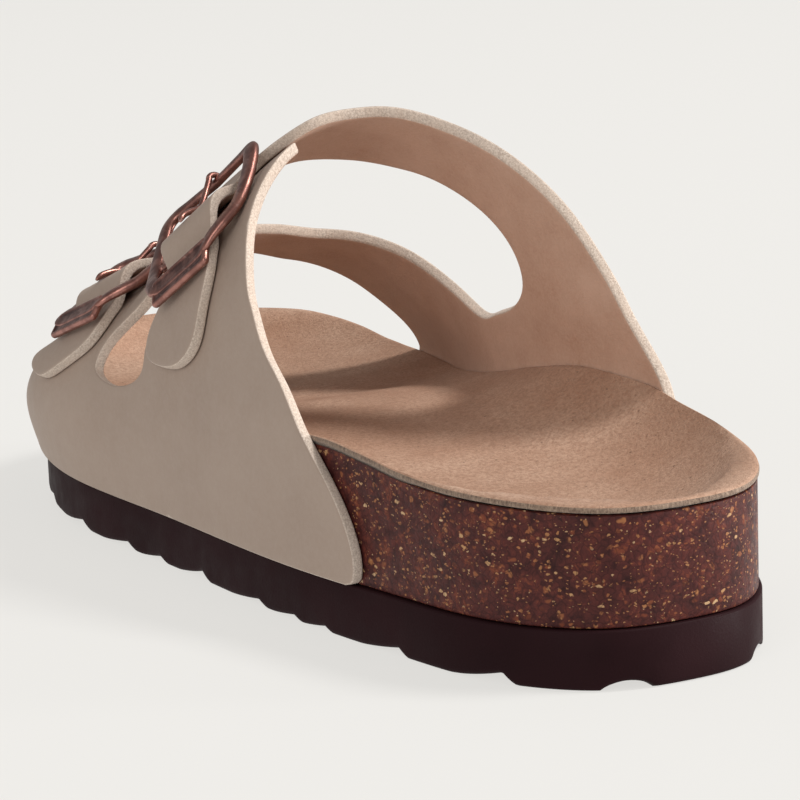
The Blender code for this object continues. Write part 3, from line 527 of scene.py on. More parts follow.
def filled(loop, step):
    """Points and triangles that fill a closed loop; the loop's own points come first."""
    core = inset(loop, step * 0.75)
    lo = loop.min(0)
    hi = loop.max(0)
    nx = int((hi[0] - lo[0]) / step) + 1
    ny = int((hi[1] - lo[1]) / (step * 0.866)) + 1
    gx, gy = np.meshgrid(np.arange(nx), np.arange(ny))
    px = lo[0] + (gx + 0.5 * (gy % 2)) * step
    py = lo[1] + gy * step * 0.866
    grid = np.stack([px.ravel(), py.ravel()], 1)
    grid = grid[inside(grid, core)]
    near = np.full(len(grid), 1e9)
    for p in loop[::2]:
        near = np.minimum(near, (grid[:, 0] - p[0]) ** 2 + (grid[:, 1] - p[1]) ** 2)
    grid = grid[near > (step * 0.6) ** 2]
    pts = np.vstack([loop, grid]) * MILLIMETRES
    edges = [(i, (i + 1) % len(loop)) for i in range(len(loop))]
    made = delaunay_2d_cdt([Vector(p) for p in pts], edges, [list(range(len(loop)))], 1, 1e-5)
    return np.array([tuple(v) for v in made[0]]) / MILLIMETRES, made[2], made[3]


def mesh_piece(name, verts, faces, kinds, mats, smooth_angle=40.0):
    mesh = bpy.data.meshes.new(name)
    mesh.from_pydata([tuple(v) for v in verts], [], faces)
    for mat in mats:
        mesh.materials.append(mat)
    mesh.polygons.foreach_set("material_index", kinds)
    bm = bmesh.new()
    bm.from_mesh(mesh)
    bmesh.ops.remove_doubles(bm, verts=bm.verts, dist=MERGE_DISTANCE)
    bmesh.ops.recalc_face_normals(bm, faces=bm.faces)
    bm.to_mesh(mesh)
    bm.free()
    mesh.shade_smooth()
    mesh.set_sharp_from_angle(angle=math.radians(smooth_angle))
    ob = bpy.data.objects.new(name, mesh)
    bpy.context.scene.collection.objects.link(ob)
    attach(ob, "root")
    return ob


def ring_piece(name, loop, rings, step, place, mats, kinds, cap_kinds, smooth_angle=40.0):
    """Closed body between stacked loops; a ring is an inset and a level that place() turns into points."""
    verts = []
    faces = []
    kind = []
    n = len(loop)
    for width, level in rings:
        flat = inset(loop, width)
        verts += list(place(flat, level))
    for k in range(len(rings) - 1):
        for i in range(n):
            j = (i + 1) % n
            faces.append((k * n + i, k * n + j, (k + 1) * n + j, (k + 1) * n + i))
            kind.append(kinds[k])
    for end, c in ((0, cap_kinds[0]), (len(rings) - 1, cap_kinds[1])):
        width, level = rings[end]
        pts, tris, origin = filled(inset(loop, width), step)
        spots = place(pts, level)
        index = []
        for k, o in enumerate(origin):
            first = [q for q in o if q < n]
            if first:
                index.append(end * n + first[0])
            else:
                index.append(len(verts))
                verts.append(spots[k])
        for t in tris:
            faces.append(tuple(index[q] for q in t))
            kind.append(c)
    return mesh_piece(name, verts, faces, kind, mats, smooth_angle)


# Sole shapes
def outline_points():
    pts = []
    for row in OUTLINE:
        pts.append((row["medial"] * HALF_WIDTH, row["along"] * LENGTH))
    for row in reversed(OUTLINE[1:-1]):
        pts.append((-row["lateral"] * HALF_WIDTH, row["along"] * LENGTH))
    return closed_spline(pts, OUTLINE_SPAN)


EDGE = outline_points()


def halves(width):
    e = inset(EDGE, width)
    lo = int(np.argmin(e[:, 1]))
    hi = int(np.argmax(e[:, 1]))
    e = np.roll(e, -lo, 0)
    hi = (hi - lo) % len(e)
    return e[:hi + 1], np.vstack([e[hi:], e[:1]])[::-1]


SIDES = {0.0: halves(0.0), CORK_INSET: halves(CORK_INSET)}


def side_x(y, side, width=0.0):
    half = SIDES[width][0 if side > 0 else 1]
    return np.interp(y, half[:, 1], half[:, 0])


def spring(y):
    s = np.maximum(0.0, (y / LENGTH - SPRING_START) / (1.0 - SPRING_START))
    return TOE_SPRING * s * s


def bed_height(y, t):
    share = y / LENGTH
    lateral = value(FOOTBED, "lateral", share) * RIM_HEIGHT
    medial = value(FOOTBED, "medial", share) * RIM_HEIGHT
    middle = value(FOOTBED, "middle", share) * RIM_HEIGHT
    heel_end = (HEEL_END[0] - share) / HEEL_END[1]
    toe_end = (share - TOE_END[0]) / TOE_END[1]
    end = np.clip(np.maximum(heel_end, toe_end), 0.0, 1.0)
    rim = (lateral + medial) / 2.0 + (medial - lateral) / 2.0 * t * (1.0 - end ** 6)
    reach = np.minimum(1.0, (np.abs(t) ** CORNER_POWER + end ** CORNER_POWER) ** (1.0 / CORNER_POWER))
    arch = ARCH_HEIGHT * RIM_HEIGHT * np.exp(-((share - ARCH_ALONG) / ARCH_LENGTH) ** 2)
    arch = arch * np.maximum(0.0, t) ** ARCH_POWER * (1.0 - reach ** 4)
    return middle + (rim - middle) * reach ** BOWL_POWER + arch


def share_across(x, y):
    a = side_x(y, -1, CORK_INSET)
    b = side_x(y, 1, CORK_INSET)
    return np.clip(2.0 * (x - a) / np.maximum(b - a, 1e-4) - 1.0, -1.0, 1.0)


def part_frame(x, y, z):
    return np.stack([x, y - HEEL_REST_ALONG * LENGTH, z], 1)


def tread(x, y):
    a = side_x(y, -1)
    b = side_x(y, 1)
    t = np.clip(2.0 * (x - a) / np.maximum(b - a, 1e-4) - 1.0, -1.0, 1.0)
    edge = np.clip((np.abs(t) - (1.0 - TREAD_REACH)) / TREAD_REACH * NOTCH_EDGE, 0.0, 1.0)
    depth = np.zeros(len(y))
    for row in TREAD:
        d = y / LENGTH - row["along"]
        d = np.where(d > 0.0, d / row["gentle"], -d / row["steep"])
        shape = np.clip(1.0 - d, 0.0, 1.0) ** NOTCH_POWER
        depth = np.maximum(depth, row["depth"] * TREAD_DEPTH * shape)
    depth *= edge
    for row in HEEL_TREAD:
        d = np.abs(x / HALF_WIDTH - row["across"]) / row["half"]
        back = np.clip(1.0 - y / (row["reach"] * LENGTH), 0.0, 1.0) ** HEEL_NOTCH_FADE
        shape = np.clip(1.0 - d * d, 0.0, 1.0) ** HEEL_NOTCH_POWER
        depth = np.maximum(depth, row["depth"] * TREAD_DEPTH * shape * back)
    return depth


# Last and straps
def arc_table():
    t = np.linspace(0.0, math.pi / 2.0, ARC_COUNT)
    x = ARC_HALF_WIDTH * np.cos(t) ** (2.0 / SHOULDER_POWER)
    z = ARC_HEIGHT * np.sin(t) ** (2.0 / SHOULDER_POWER)
    s = np.concatenate([[0.0], np.cumsum(np.hypot(np.diff(x), np.diff(z)))])
    return s / s[-1], t


ARC_SHARE, ARC_ANGLE = arc_table()


def arch_reach(side, share, wide, c, s):
    if side > 0:
        return wide * c ** (2.0 / SHOULDER_POWER)
    bulge = value(LAST, "bulge", share) * SIDE_BULGE
    return wide * c ** (2.0 / LATERAL_POWER) + bulge * BULGE_PEAK * s * c ** 4


def last_side(side, around, y, off):
    share = y / LENGTH
    a = around if side < 0 else 2.0 - around
    angle = np.interp(a, ARC_SHARE, ARC_ANGLE)
    c = np.maximum(0.0, np.cos(angle))
    s = np.maximum(0.0, np.sin(angle))
    foot = OUTSOLE_THICK + spring(y) + GAP
    centre = value(LAST, "across", share) * CREST_SHIFT
    grow = GAP - CORK_INSET + LEATHER + off
    top = value(LAST, "crest", share) * CREST_HEIGHT + off
    wide = side * side_x(y, side) + grow - side * centre
    power = LATERAL_POWER if side < 0 else SHOULDER_POWER
    z = foot + (top - foot) * s ** (2.0 / power)
    rim = bed_height(y, float(side)) + 2.0 * GAP
    rim_s = ((rim - foot) / (top - foot)) ** (power / 2.0)
    low_s = np.minimum(s, rim_s)
    low_c = np.sqrt(1.0 - low_s * low_s)
    short = np.maximum(0.0, wide - arch_reach(side, share, wide, low_c, low_s))
    x = arch_reach(side, share, wide, c, s) + short * (1.0 - smooth((z - rim) / RIM_BLEND))
    return np.stack([centre + side * x, y, z], 1)


def last_points(around, y, off):
    around = np.asarray(around, float)
    lateral = last_side(-1, np.minimum(around, 1.0), y, off)
    medial = last_side(1, np.maximum(around, 1.0), y, off)
    return np.where((around < 1.0)[:, None], lateral, medial)


def last_point(around, y, off):
    p = last_points(np.array([around]), np.array([y]), np.array([off]))[0]
    return Vector(p)


def middle_along(row):
    t = (row["middle"] - row["plate"]) / (row["bar"] - row["plate"])
    return row["plate_along"] + (row["bar_along"] - row["plate_along"]) * t


def strap_offset(around, y):
    around = np.asarray(around, float)
    y = np.asarray(y, float)
    off = np.zeros(around.shape)
    behind = y / LENGTH < STRAP_SPLIT
    for row, here in ((BUCKLES[0], behind), (BUCKLES[1], ~behind)):
        rise = (LEATHER + GAP) * smooth((row["down"] - around) / (row["down"] - row["land"]))
        middle = row["middle"] - row["lean"] * (y - middle_along(row) * LENGTH) * 1000.0
        d = np.minimum(np.abs(around - middle) / row["half_lift"], 1.0)
        off = np.where(here, rise + STRAP_LIFT * np.cos(d * math.pi / 2.0) ** 2, off)
    return off


# Material building
class Nodes:
    def __init__(self, name):
        self.mat = bpy.data.materials.new(name)
        self.mat.use_nodes = True
        self.tree = self.mat.node_tree
        self.shader = self.tree.nodes["Principled BSDF"]
        self.coord = self.tree.nodes.new("ShaderNodeTexCoord").outputs["Object"]

    def new(self, kind, **inputs):
        node = self.tree.nodes.new(kind)
        for key, item in inputs.items():
            self.put(node.inputs[key], item)
        return node

    def put(self, socket, item):
        if isinstance(item, bpy.types.NodeSocket):
            self.tree.links.new(item, socket)
        else:
            socket.default_value = item

    def scaled(self, x, y, z, vector=None):
        node = self.new("ShaderNodeMapping")
        node.inputs["Scale"].default_value = (x, y, z)
        self.put(node.inputs["Vector"], vector or self.coord)
        return node.outputs["Vector"]

    def noise(self, scale, detail=3.0, rough=0.55, vector=None):
        node = self.new("ShaderNodeTexNoise", Scale=scale, Detail=detail, Roughness=rough)
        self.put(node.inputs["Vector"], vector or self.coord)
        return node.outputs["Fac"]

    def cells(self, scale, vector=None, feature="F1"):
        node = self.new("ShaderNodeTexVoronoi", Scale=scale)
        node.feature = feature
        self.put(node.inputs["Vector"], vector or self.coord)
        return node

    def ramp(self, fac, stops):
        node = self.tree.nodes.new("ShaderNodeValToRGB")
        band = node.color_ramp.elements
        while len(band) < len(stops):
            band.new(0.5)
        for item, (place, colour) in zip(band, stops):
            item.position = place
            if not isinstance(colour, tuple):
                colour = (colour, colour, colour)
            item.color = (*colour, 1.0)
        self.put(node.inputs["Fac"], fac)
        return node.outputs["Color"]

    def math(self, kind, a, b=0.0, clamp=False):
        node = self.tree.nodes.new("ShaderNodeMath")
        node.operation = kind
        node.use_clamp = clamp
        self.put(node.inputs[0], a)
        self.put(node.inputs[1], b)
        return node.outputs[0]

    def mix(self, fac, a, b):
        node = self.tree.nodes.new("ShaderNodeMix")
        node.data_type = "RGBA"
        self.put(node.inputs[0], fac)
        for socket, item in ((node.inputs[6], a), (node.inputs[7], b)):
            if isinstance(item, tuple) and len(item) == 3:
                item = (*item, 1.0)
            self.put(socket, item)
        return node.outputs[2]

    def moved(self, amount, scale):
        noise = self.new("ShaderNodeTexNoise", Scale=scale, Detail=2.0)
        self.put(noise.inputs["Vector"], self.coord)
        shift = self.tree.nodes.new("ShaderNodeVectorMath")
        shift.operation = "MULTIPLY_ADD"
        self.put(shift.inputs[0], noise.outputs["Color"])
        shift.inputs[1].default_value = (amount, amount, amount)
        self.put(shift.inputs[2], self.coord)
        return shift.outputs[0]

    def bump(self, height, distance, strength=1.0, over=None):
        node = self.new("ShaderNodeBump", Height=height, Distance=distance, Strength=strength)
        if over is not None:
            self.put(node.inputs["Normal"], over)
        return node.outputs["Normal"]

    def split(self, colour):
        node = self.tree.nodes.new("ShaderNodeSeparateColor")
        self.put(node.inputs[0], colour)
        return node.outputs

    def pointiness(self):
        return self.tree.nodes.new("ShaderNodeNewGeometry").outputs["Pointiness"]

    def finish(self, **inputs):
        for key, item in inputs.items():
            if isinstance(item, tuple) and len(item) == 3 and ("Color" in key or "Tint" in key):
                item = (*item, 1.0)
            self.put(self.shader.inputs[key.replace("_", " ")], item)
        return self.mat


def smooth_leather():
    n = Nodes("smooth_matte_leather")
    broad = n.noise(38.0, 4.0, 0.6)
    fine = n.noise(900.0, 3.0, 0.6)
    pores = n.cells(1500.0, n.moved(0.0006, 700.0)).outputs["Distance"]
    base = n.mix(n.ramp(broad, [(0.30, 0.0), (0.72, 1.0)]), LEATHER_DARK, LEATHER_LIGHT)
    base = n.mix(n.ramp(fine, [(0.38, 0.0), (0.70, 0.22)]), base, LEATHER_SPECK)
    base = n.mix(n.ramp(n.pointiness(), [(0.53, 0.0), (0.60, 0.45)]), base, FELT_LIGHT)
    relief = n.bump(fine, 0.00006, 0.5)
    relief = n.bump(pores, 0.00005, 0.35, relief)
    rough = n.ramp(n.noise(260.0, 3.0), [(0.3, 0.50), (0.7, 0.62)])
    return n.finish(Base_Color=base, Roughness=rough, Normal=relief, Specular_IOR_Level=0.22,
                    Sheen_Weight=0.06, Sheen_Roughness=0.45, Sheen_Tint=(1.0, 0.96, 0.92))


def felt_edge():
    n = Nodes("felt_cut_edge")
    fibres = n.noise(2600.0, 4.0, 0.7, n.moved(0.0010, 500.0))
    broad = n.noise(150.0, 3.0)
    base = n.mix(n.ramp(fibres, [(0.36, 0.0), (0.62, 1.0)]), FELT_DARK, FELT_LIGHT)
    base = n.mix(n.ramp(broad, [(0.40, 0.0), (0.70, 0.35)]), base, FELT_WARM)
    relief = n.bump(fibres, 0.00018, 0.6)
    relief = n.bump(n.noise(700.0, 3.0), 0.00015, 0.4, relief)
    return n.finish(Base_Color=base, Roughness=0.95, Normal=relief, Specular_IOR_Level=0.15,
                    Sheen_Weight=0.15, Sheen_Roughness=0.5, Sheen_Tint=(1.0, 0.97, 0.94))


def suede_lining():
    n = Nodes("suede_lining")
    nap = n.noise(1500.0, 4.0, 0.65, n.moved(0.0012, 220.0))
    cloud = n.noise(55.0, 4.0, 0.65)
    base = n.mix(n.ramp(cloud, [(0.32, 0.0), (0.70, 1.0)]), LINING_DARK, LINING_LIGHT)
    base = n.mix(n.ramp(nap, [(0.35, 0.0), (0.65, 0.30)]), base, LINING_NAP)
    relief = n.bump(nap, 0.00022, 0.6)
    return n.finish(Base_Color=base, Roughness=0.93, Normal=relief, Specular_IOR_Level=0.12,
                    Sheen_Weight=0.12, Sheen_Roughness=0.45, Sheen_Tint=(1.0, 0.92, 0.86))


def footbed_suede():
    n = Nodes("footbed_suede")
    nap = n.noise(1150.0, 4.0, 0.7, n.moved(0.0008, 300.0))
    grain = n.noise(3200.0, 2.0, 0.6)
    cloud = n.noise(34.0, 4.0, 0.6)
    base = n.mix(n.ramp(cloud, [(0.30, 0.0), (0.72, 1.0)]), SUEDE_DARK, SUEDE_LIGHT)
    base = n.mix(n.ramp(nap, [(0.36, 0.62), (0.60, 0.0)]), base, SUEDE_NAP)
    base = n.mix(n.ramp(grain, [(0.30, 0.40), (0.46, 0.0)]), base, SUEDE_PEPPER)
    spots = n.cells(620.0)
    chosen = n.math("GREATER_THAN", n.split(spots.outputs["Color"])[0], 0.93)
    small = n.math("LESS_THAN", spots.outputs["Distance"], 0.17)
    base = n.mix(n.math("MULTIPLY", n.math("MULTIPLY", chosen, small), 0.6), base, SUEDE_PEPPER)
    relief = n.bump(nap, 0.00050, 0.7)
    relief = n.bump(grain, 0.00020, 0.6, relief)
    return n.finish(Base_Color=base, Roughness=0.95, Normal=relief, Specular_IOR_Level=0.12,
                    Sheen_Weight=0.10, Sheen_Roughness=0.5, Sheen_Tint=(1.0, 0.93, 0.86))


def cover_edge():
    n = Nodes("footbed_cut_edge")
    fibres = n.noise(2100.0, 4.0, 0.7, n.scaled(1.0, 1.0, 0.45))
    base = n.mix(n.ramp(fibres, [(0.36, 0.0), (0.64, 1.0)]), EDGE_DARK, EDGE_LIGHT)
    relief = n.bump(fibres, 0.00035, 0.8)
    return n.finish(Base_Color=base, Roughness=0.95, Normal=relief, Specular_IOR_Level=0.15,
                    Sheen_Weight=0.2, Sheen_Roughness=0.5)


def cork():
    n = Nodes("cork_granules")
    bent = n.moved(0.0022, 420.0)
    bent_fine = n.moved(0.0012, 900.0)

    def flecks(under, scale, vector, above, size, fade, cover, tones):
        """Lays one kind of granule over the tone under it; each chosen cell has its own tone."""
        c = n.cells(scale, vector)
        part = n.split(c.outputs["Color"])
        chosen = n.math("GREATER_THAN", part[0], above)
        near = n.math("MULTIPLY", n.math("SUBTRACT", size, c.outputs["Distance"]), fade, clamp=True)
        mask = n.math("MULTIPLY", chosen, near)
        return n.mix(n.math("MULTIPLY", mask, cover), under, n.ramp(part[1], tones))

    base = n.ramp(n.noise(260.0, 6.0, 0.72, bent), [
        (0.30, CORK_DEEP), (0.44, CORK_DARK), (0.56, CORK_BROWN), (0.68, CORK_RUST), (0.80, CORK_BROWN)])
    base = flecks(base, 520.0, n.scaled(1.0, 1.0, 1.3, bent), 0.72, 0.42, 6.0, 0.75,
                  [(0.0, CORK_DEEP), (0.45, CORK_RUST), (1.0, CORK_AMBER)])
    base = flecks(base, 760.0, bent, 0.62, 0.42, 6.0, 0.7,
                  [(0.0, CORK_DEEP), (0.6, CORK_DARK), (1.0, CORK_BROWN)])
    base = flecks(base, 780.0, n.scaled(1.0, 1.0, 1.5, bent_fine), 0.68, 0.36, 10.0, 0.8,
                  [(0.0, CORK_RUST), (0.6, CORK_AMBER), (1.0, CORK_TAN)])
    base = flecks(base, 500.0, n.scaled(1.0, 1.0, 1.7, bent_fine), 0.900, 0.33, 12.0, 0.95,
                  [(0.0, CORK_TAN), (1.0, CORK_CREAM)])
    base = flecks(base, 1350.0, n.scaled(1.0, 1.0, 1.6, bent_fine), 0.78, 0.34, 9.0, 0.75,
                  [(0.0, CORK_AMBER), (0.7, CORK_TAN), (1.0, CORK_CREAM)])
    seams = n.cells(560.0, bent, "DISTANCE_TO_EDGE").outputs["Distance"]
    base = n.mix(n.ramp(seams, [(0.0, 0.55), (0.09, 0.0)]), base, CORK_DEEP)
    relief = n.bump(seams, 0.00022, 0.55)
    relief = n.bump(n.noise(1400.0, 3.0), 0.00012, 0.5, relief)
    rough = n.ramp(n.noise(500.0, 3.0), [(0.3, 0.36), (0.7, 0.55)])
    return n.finish(Base_Color=base, Roughness=rough, Normal=relief, Specular_IOR_Level=0.16)


def sole_foam():
    n = Nodes("sole_foam")
    fine = n.noise(1700.0, 3.0, 0.6)
    broad = n.noise(45.0, 3.0)
    base = n.mix(n.ramp(broad, [(0.3, 0.0), (0.7, 1.0)]), FOAM_DARK, FOAM_LIGHT)
    dust = n.cells(520.0)
    rare = n.math("MULTIPLY", n.math("GREATER_THAN", n.split(dust.outputs["Color"])[0], 0.985),
                  n.math("LESS_THAN", dust.outputs["Distance"], 0.12))
    base = n.mix(n.math("MULTIPLY", rare, 0.5), base, FOAM_DUST)
    relief = n.bump(fine, 0.00008, 0.55)
    rough = n.ramp(n.noise(180.0, 3.0), [(0.3, 0.46), (0.7, 0.60)])
    return n.finish(Base_Color=base, Roughness=rough, Normal=relief, Specular_IOR_Level=0.05)


def antique_copper():
    n = Nodes("antique_copper")
    edge = n.pointiness()
    cloud = n.noise(240.0, 4.0, 0.65)
    scratch = n.noise(900.0, 3.0, 0.6, n.scaled(1.0, 0.25, 1.0))
    worn = n.math("ADD", n.ramp(edge, [(0.485, 0.0), (0.57, 0.9)]),
                  n.ramp(cloud, [(0.44, 0.0), (0.66, 0.62)]), clamp=True)
    base = n.mix(worn, COPPER_DARK, COPPER_WARM)
    base = n.mix(n.ramp(edge, [(0.555, 0.0), (0.66, 0.85)]), base, COPPER_BRIGHT)
    base = n.mix(n.ramp(scratch, [(0.60, 0.0), (0.72, 0.35)]), base, COPPER_BRIGHT)
    rough = n.ramp(cloud, [(0.35, 0.46), (0.70, 0.27)])
    relief = n.bump(n.noise(600.0, 3.0), 0.00012, 0.35)
    return n.finish(Base_Color=base, Roughness=rough, Normal=relief, Metallic=1.0)


LEATHER_MAT = smooth_leather()
FELT_MAT = felt_edge()
LINING_MAT = suede_lining()
SUEDE_MAT = footbed_suede()
COVER_EDGE_MAT = cover_edge()
CORK_MAT = cork()
FOAM_MAT = sole_foam()
COPPER_MAT = antique_copper()


# Outsole
def sole_place(flat, level):
    x = flat[:, 0]
    y = flat[:, 1]
    kind, high = level
    if kind == "low":
        z = spring(y) + tread(x, y) + high
    else:
        z = spring(y) + OUTSOLE_THICK - high
    return part_frame(x, y, z)


# Inset and level of each ring, from the underside to the top
SOLE_RINGS = [(0.0011, ("low", 0.0)), (0.0004, ("low", 0.00022)), (0.0001, ("low", 0.0006)),
              (0.0, ("low", 0.0012)), (0.0, ("top", 0.0005)), (0.00015, ("top", 0.00015)),
              (0.0005, ("top", 0.0))]
sole = ring_piece("sole_foam_body", even(EDGE, SOLE_EDGE_STEP), SOLE_RINGS, SOLE_FILL_STEP, sole_place,
                  [FOAM_MAT], [0] * 6, (0, 0), 50.0)
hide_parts("outsole")


# Cork body and its suede cover
def cork_place(flat, level):
    x = flat[:, 0]
    y = flat[:, 1]
    kind, shift = level
    if kind == "low":
        z = OUTSOLE_THICK + spring(y) + GAP + shift
    else:
        z = bed_height(y, share_across(x, y)) - COVER_THICK - GAP + shift
    return part_frame(x, y, z)


CORK_RINGS = [(0.0009, ("low", 0.0)), (CORK_INSET, ("low", 0.0003)), (CORK_INSET, ("top", -0.0002)),
              (0.0010, ("top", 0.0))]
cork_body = ring_piece("cork_body", even(EDGE, CORK_EDGE_STEP), CORK_RINGS, CORK_FILL_STEP, cork_place,
                       [CORK_MAT], [0] * 3, (0, 0), 50.0)
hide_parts("cork_footbed")


def cover_place(flat, level):
    x = flat[:, 0]
    y = flat[:, 1]
    base = bed_height(y, share_across(x, y))
    return part_frame(x, y, base - level)


COVER_RINGS = [(0.0012, COVER_THICK), (0.0006, COVER_THICK - 0.0001), (0.00035, COVER_THICK * 0.8),
               (0.00030, COVER_THICK * 0.5), (0.00045, COVER_THICK * 0.24), (0.0008, COVER_THICK * 0.08),
               (0.0014, 0.0), (0.0022, 0.0)]
cover = ring_piece("footbed_cover", even(EDGE, BED_EDGE_STEP), COVER_RINGS, BED_STEP, cover_place,
                   [SUEDE_MAT, COVER_EDGE_MAT], [1, 1, 1, 1, 0, 0, 0], (1, 0), 60.0)
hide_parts("insole")


# Leather uppers
def cut_loop(table):
    raw = [(row["around"] * PATTERN_SPAN, row["along"] * LENGTH) for row in table]
    fine = closed_spline(raw, CUT_SPAN)
    fine[:, 0] = np.clip(fine[:, 0], 0.0, 2.0 * PATTERN_SPAN)
    return even(fine, PANEL_EDGE_STEP)


def upper_piece(name, node, table, offset):
    def place(flat, level):
        around = np.clip(flat[:, 0] / PATTERN_SPAN, 0.0, 2.0)
        off = offset(around, flat[:, 1]) - level
        p = last_points(around, flat[:, 1], off)
        p[:, 1] -= HEEL_REST_ALONG * LENGTH
        return p

    r = EDGE_ROUND
    rings = [(0.0014, 0.0), (r * 1.5, 0.0), (r * 0.75, r * 0.10), (r * 0.3, r * 0.38), (r * 0.06, r * 0.75),
             (0.0, r * 1.3), (0.0, LEATHER * 0.5), (0.0, LEATHER - r * 1.3), (r * 0.15, LEATHER - r * 0.7),
             (r * 0.5, LEATHER - r * 0.25), (r * 1.2, LEATHER), (0.0014, LEATHER)]
    kinds = [0, 0, 0, 1, 1, 1, 1, 1, 1, 2, 2]
    ob = ring_piece(name, cut_loop(table), rings, LINING_STEP, place, [LEATHER_MAT, FELT_MAT, LINING_MAT],
                    kinds, (0, 2), 75.0)
    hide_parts(node)


upper_piece("upper_outer_panel", "upper_lateral", LATERAL_CUT, lambda a, y: np.zeros(len(a)))
upper_piece("upper_inner_panel", "upper_medial", MEDIAL_CUT, strap_offset)


# Buckles
def buckle_frame(row):
    plate_off = LEATHER + GAP + BUCKLE_CLEAR + PLATE_THICK / 2.0
    bar_off = LEATHER + GAP + TOP_BAR_CLEAR + TOP_BAR_RADIUS
    y0 = row["plate_along"] * LENGTH
    y1 = row["bar_along"] * LENGTH
    low = last_point(row["plate"], y0, plate_off)
    high = last_point(row["bar"], y1, bar_off)
    up = (high - low)
    height = up.length
    up.normalize()
    middle = row["middle"]
    ym = middle_along(row) * LENGTH
    side = last_point(middle, ym - 0.004, 0.0) - last_point(middle, ym + 0.004, 0.0)
    side -= up * side.dot(up)
    side.normalize()
    out = side.cross(up)
    if out.dot(Vector((-1.0, 0.0, 1.0))) < 0.0:
        out = -out
    bar = last_point(middle, ym, BAR_CLEAR + CENTRE_BAR_RADIUS) - low
    return low, side, up, out, height, bar.dot(up), bar.dot(out)


def centre_bar(row, height, bar_up, bar_out):
    """Half of the hidden bar's path, from the middle of the rail's section to the strap's middle."""
    ups = [r["up"] for r in RING[1:-2]]
    sides = [r["side"] for r in RING[1:-2]]
    reach = RAIL_SPREAD * row["spread"] * np.interp(bar_up / height, ups, sides)
    rise = np.interp(bar_up / height, ups, [r["rise"] for r in RING[1:-2]])
    elbow = reach - RAIL_HALF_WIDTH - CENTRE_BAR_RADIUS
    drop = rise + (bar_out - rise) * 0.95
    bend = rise + (drop - rise) * 0.55
    path = [(reach, rise), (elbow + CENTRE_BAR_RADIUS, bend),
            (elbow - CENTRE_BAR_RADIUS, drop), (0.0, bar_out)]
    return [np.array([across, bar_up, level]) for across, level in path]


def tube_mesh(path, sizes, normal, count, closed, power):
    n = len(path)
    verts = []
    for i in range(n):
        if closed:
            t = path[(i + 1) % n] - path[i - 1]
        else:
            t = path[min(i + 1, n - 1)] - path[max(i - 1, 0)]
        t.normalize()
        side = t.cross(normal)
        side.normalize()
        lift = side.cross(t)
        wide, thick = sizes[i]
        for k in range(count):
            w = 2.0 * math.pi * (k + 0.5) / count
            c = math.copysign(abs(math.cos(w)) ** (2.0 / power), math.cos(w))
            s = math.copysign(abs(math.sin(w)) ** (2.0 / power), math.sin(w))
            verts.append(path[i] + side * (c * wide) + lift * (s * thick))
    faces = []
    for i in range(n if closed else n - 1):
        j = (i + 1) % n
        for k in range(count):
            m = (k + 1) % count
            faces.append((i * count + k, i * count + m, j * count + m, j * count + k))
    if not closed:
        faces.append(tuple(range(count)))
        faces.append(tuple(range((n - 1) * count, n * count)))
    return verts, faces


def fine_path(rows, per_span):
    out = []
    n = len(rows)
    for i in range(n - 1):
        p0 = rows[max(i - 1, 0)]
        p1 = rows[i]
        p2 = rows[i + 1]
        p3 = rows[min(i + 2, n - 1)]
        for k in range(per_span):
            t = k / per_span
            out.append(0.5 * (2 * p1 + (p2 - p0) * t + (2 * p0 - 5 * p1 + 4 * p2 - p3) * t * t
                              + (3 * p1 - p0 - 3 * p2 + p3) * t ** 3))
    out.append(rows[-1])
    return out


def plate_mesh(at):
    """Plate with rounded edges and a sunk field on its face."""
    hx = PLATE_LENGTH / 2.0
    hy = PLATE_HEIGHT / 2.0
    hz = PLATE_THICK / 2.0
    corner = 0.0011

    def loop(shrink, height):
        pts = []
        for sx, sy, start in ((1, 1, 0.0), (-1, 1, 90.0), (-1, -1, 180.0), (1, -1, 270.0)):
            for k in range(7):
                w = math.radians(start + 15.0 * k)
                r = max(corner - shrink, 0.0002)
                cx = sx * (hx - shrink - r)
                cy = sy * (hy - shrink - r)
                pts.append(at(cx + r * math.cos(w), cy + r * math.sin(w), height))
        return pts

    levels = [(0.0005, -hz), (0.0001, -hz + 0.0004), (0.0, -hz + 0.0008), (0.0, hz - 0.0007),
              (0.00012, hz - 0.0003), (0.0004, hz - 0.00005), (0.0007, hz), (0.0009, hz - 0.00003),
              (0.0011, hz - 0.00020), (0.0014, hz - 0.00026), (0.0020, hz - 0.00026)]
    verts = []
    for shrink, height in levels:
        verts += loop(shrink, height)
    m = 28
    faces = [tuple(range(m))]
    for k in range(len(levels) - 1):
        for i in range(m):
            j = (i + 1) % m
            faces.append((k * m + i, k * m + j, (k + 1) * m + j, (k + 1) * m + i))
    faces.append(tuple(range((len(levels) - 1) * m, len(levels) * m)))
    return verts, faces


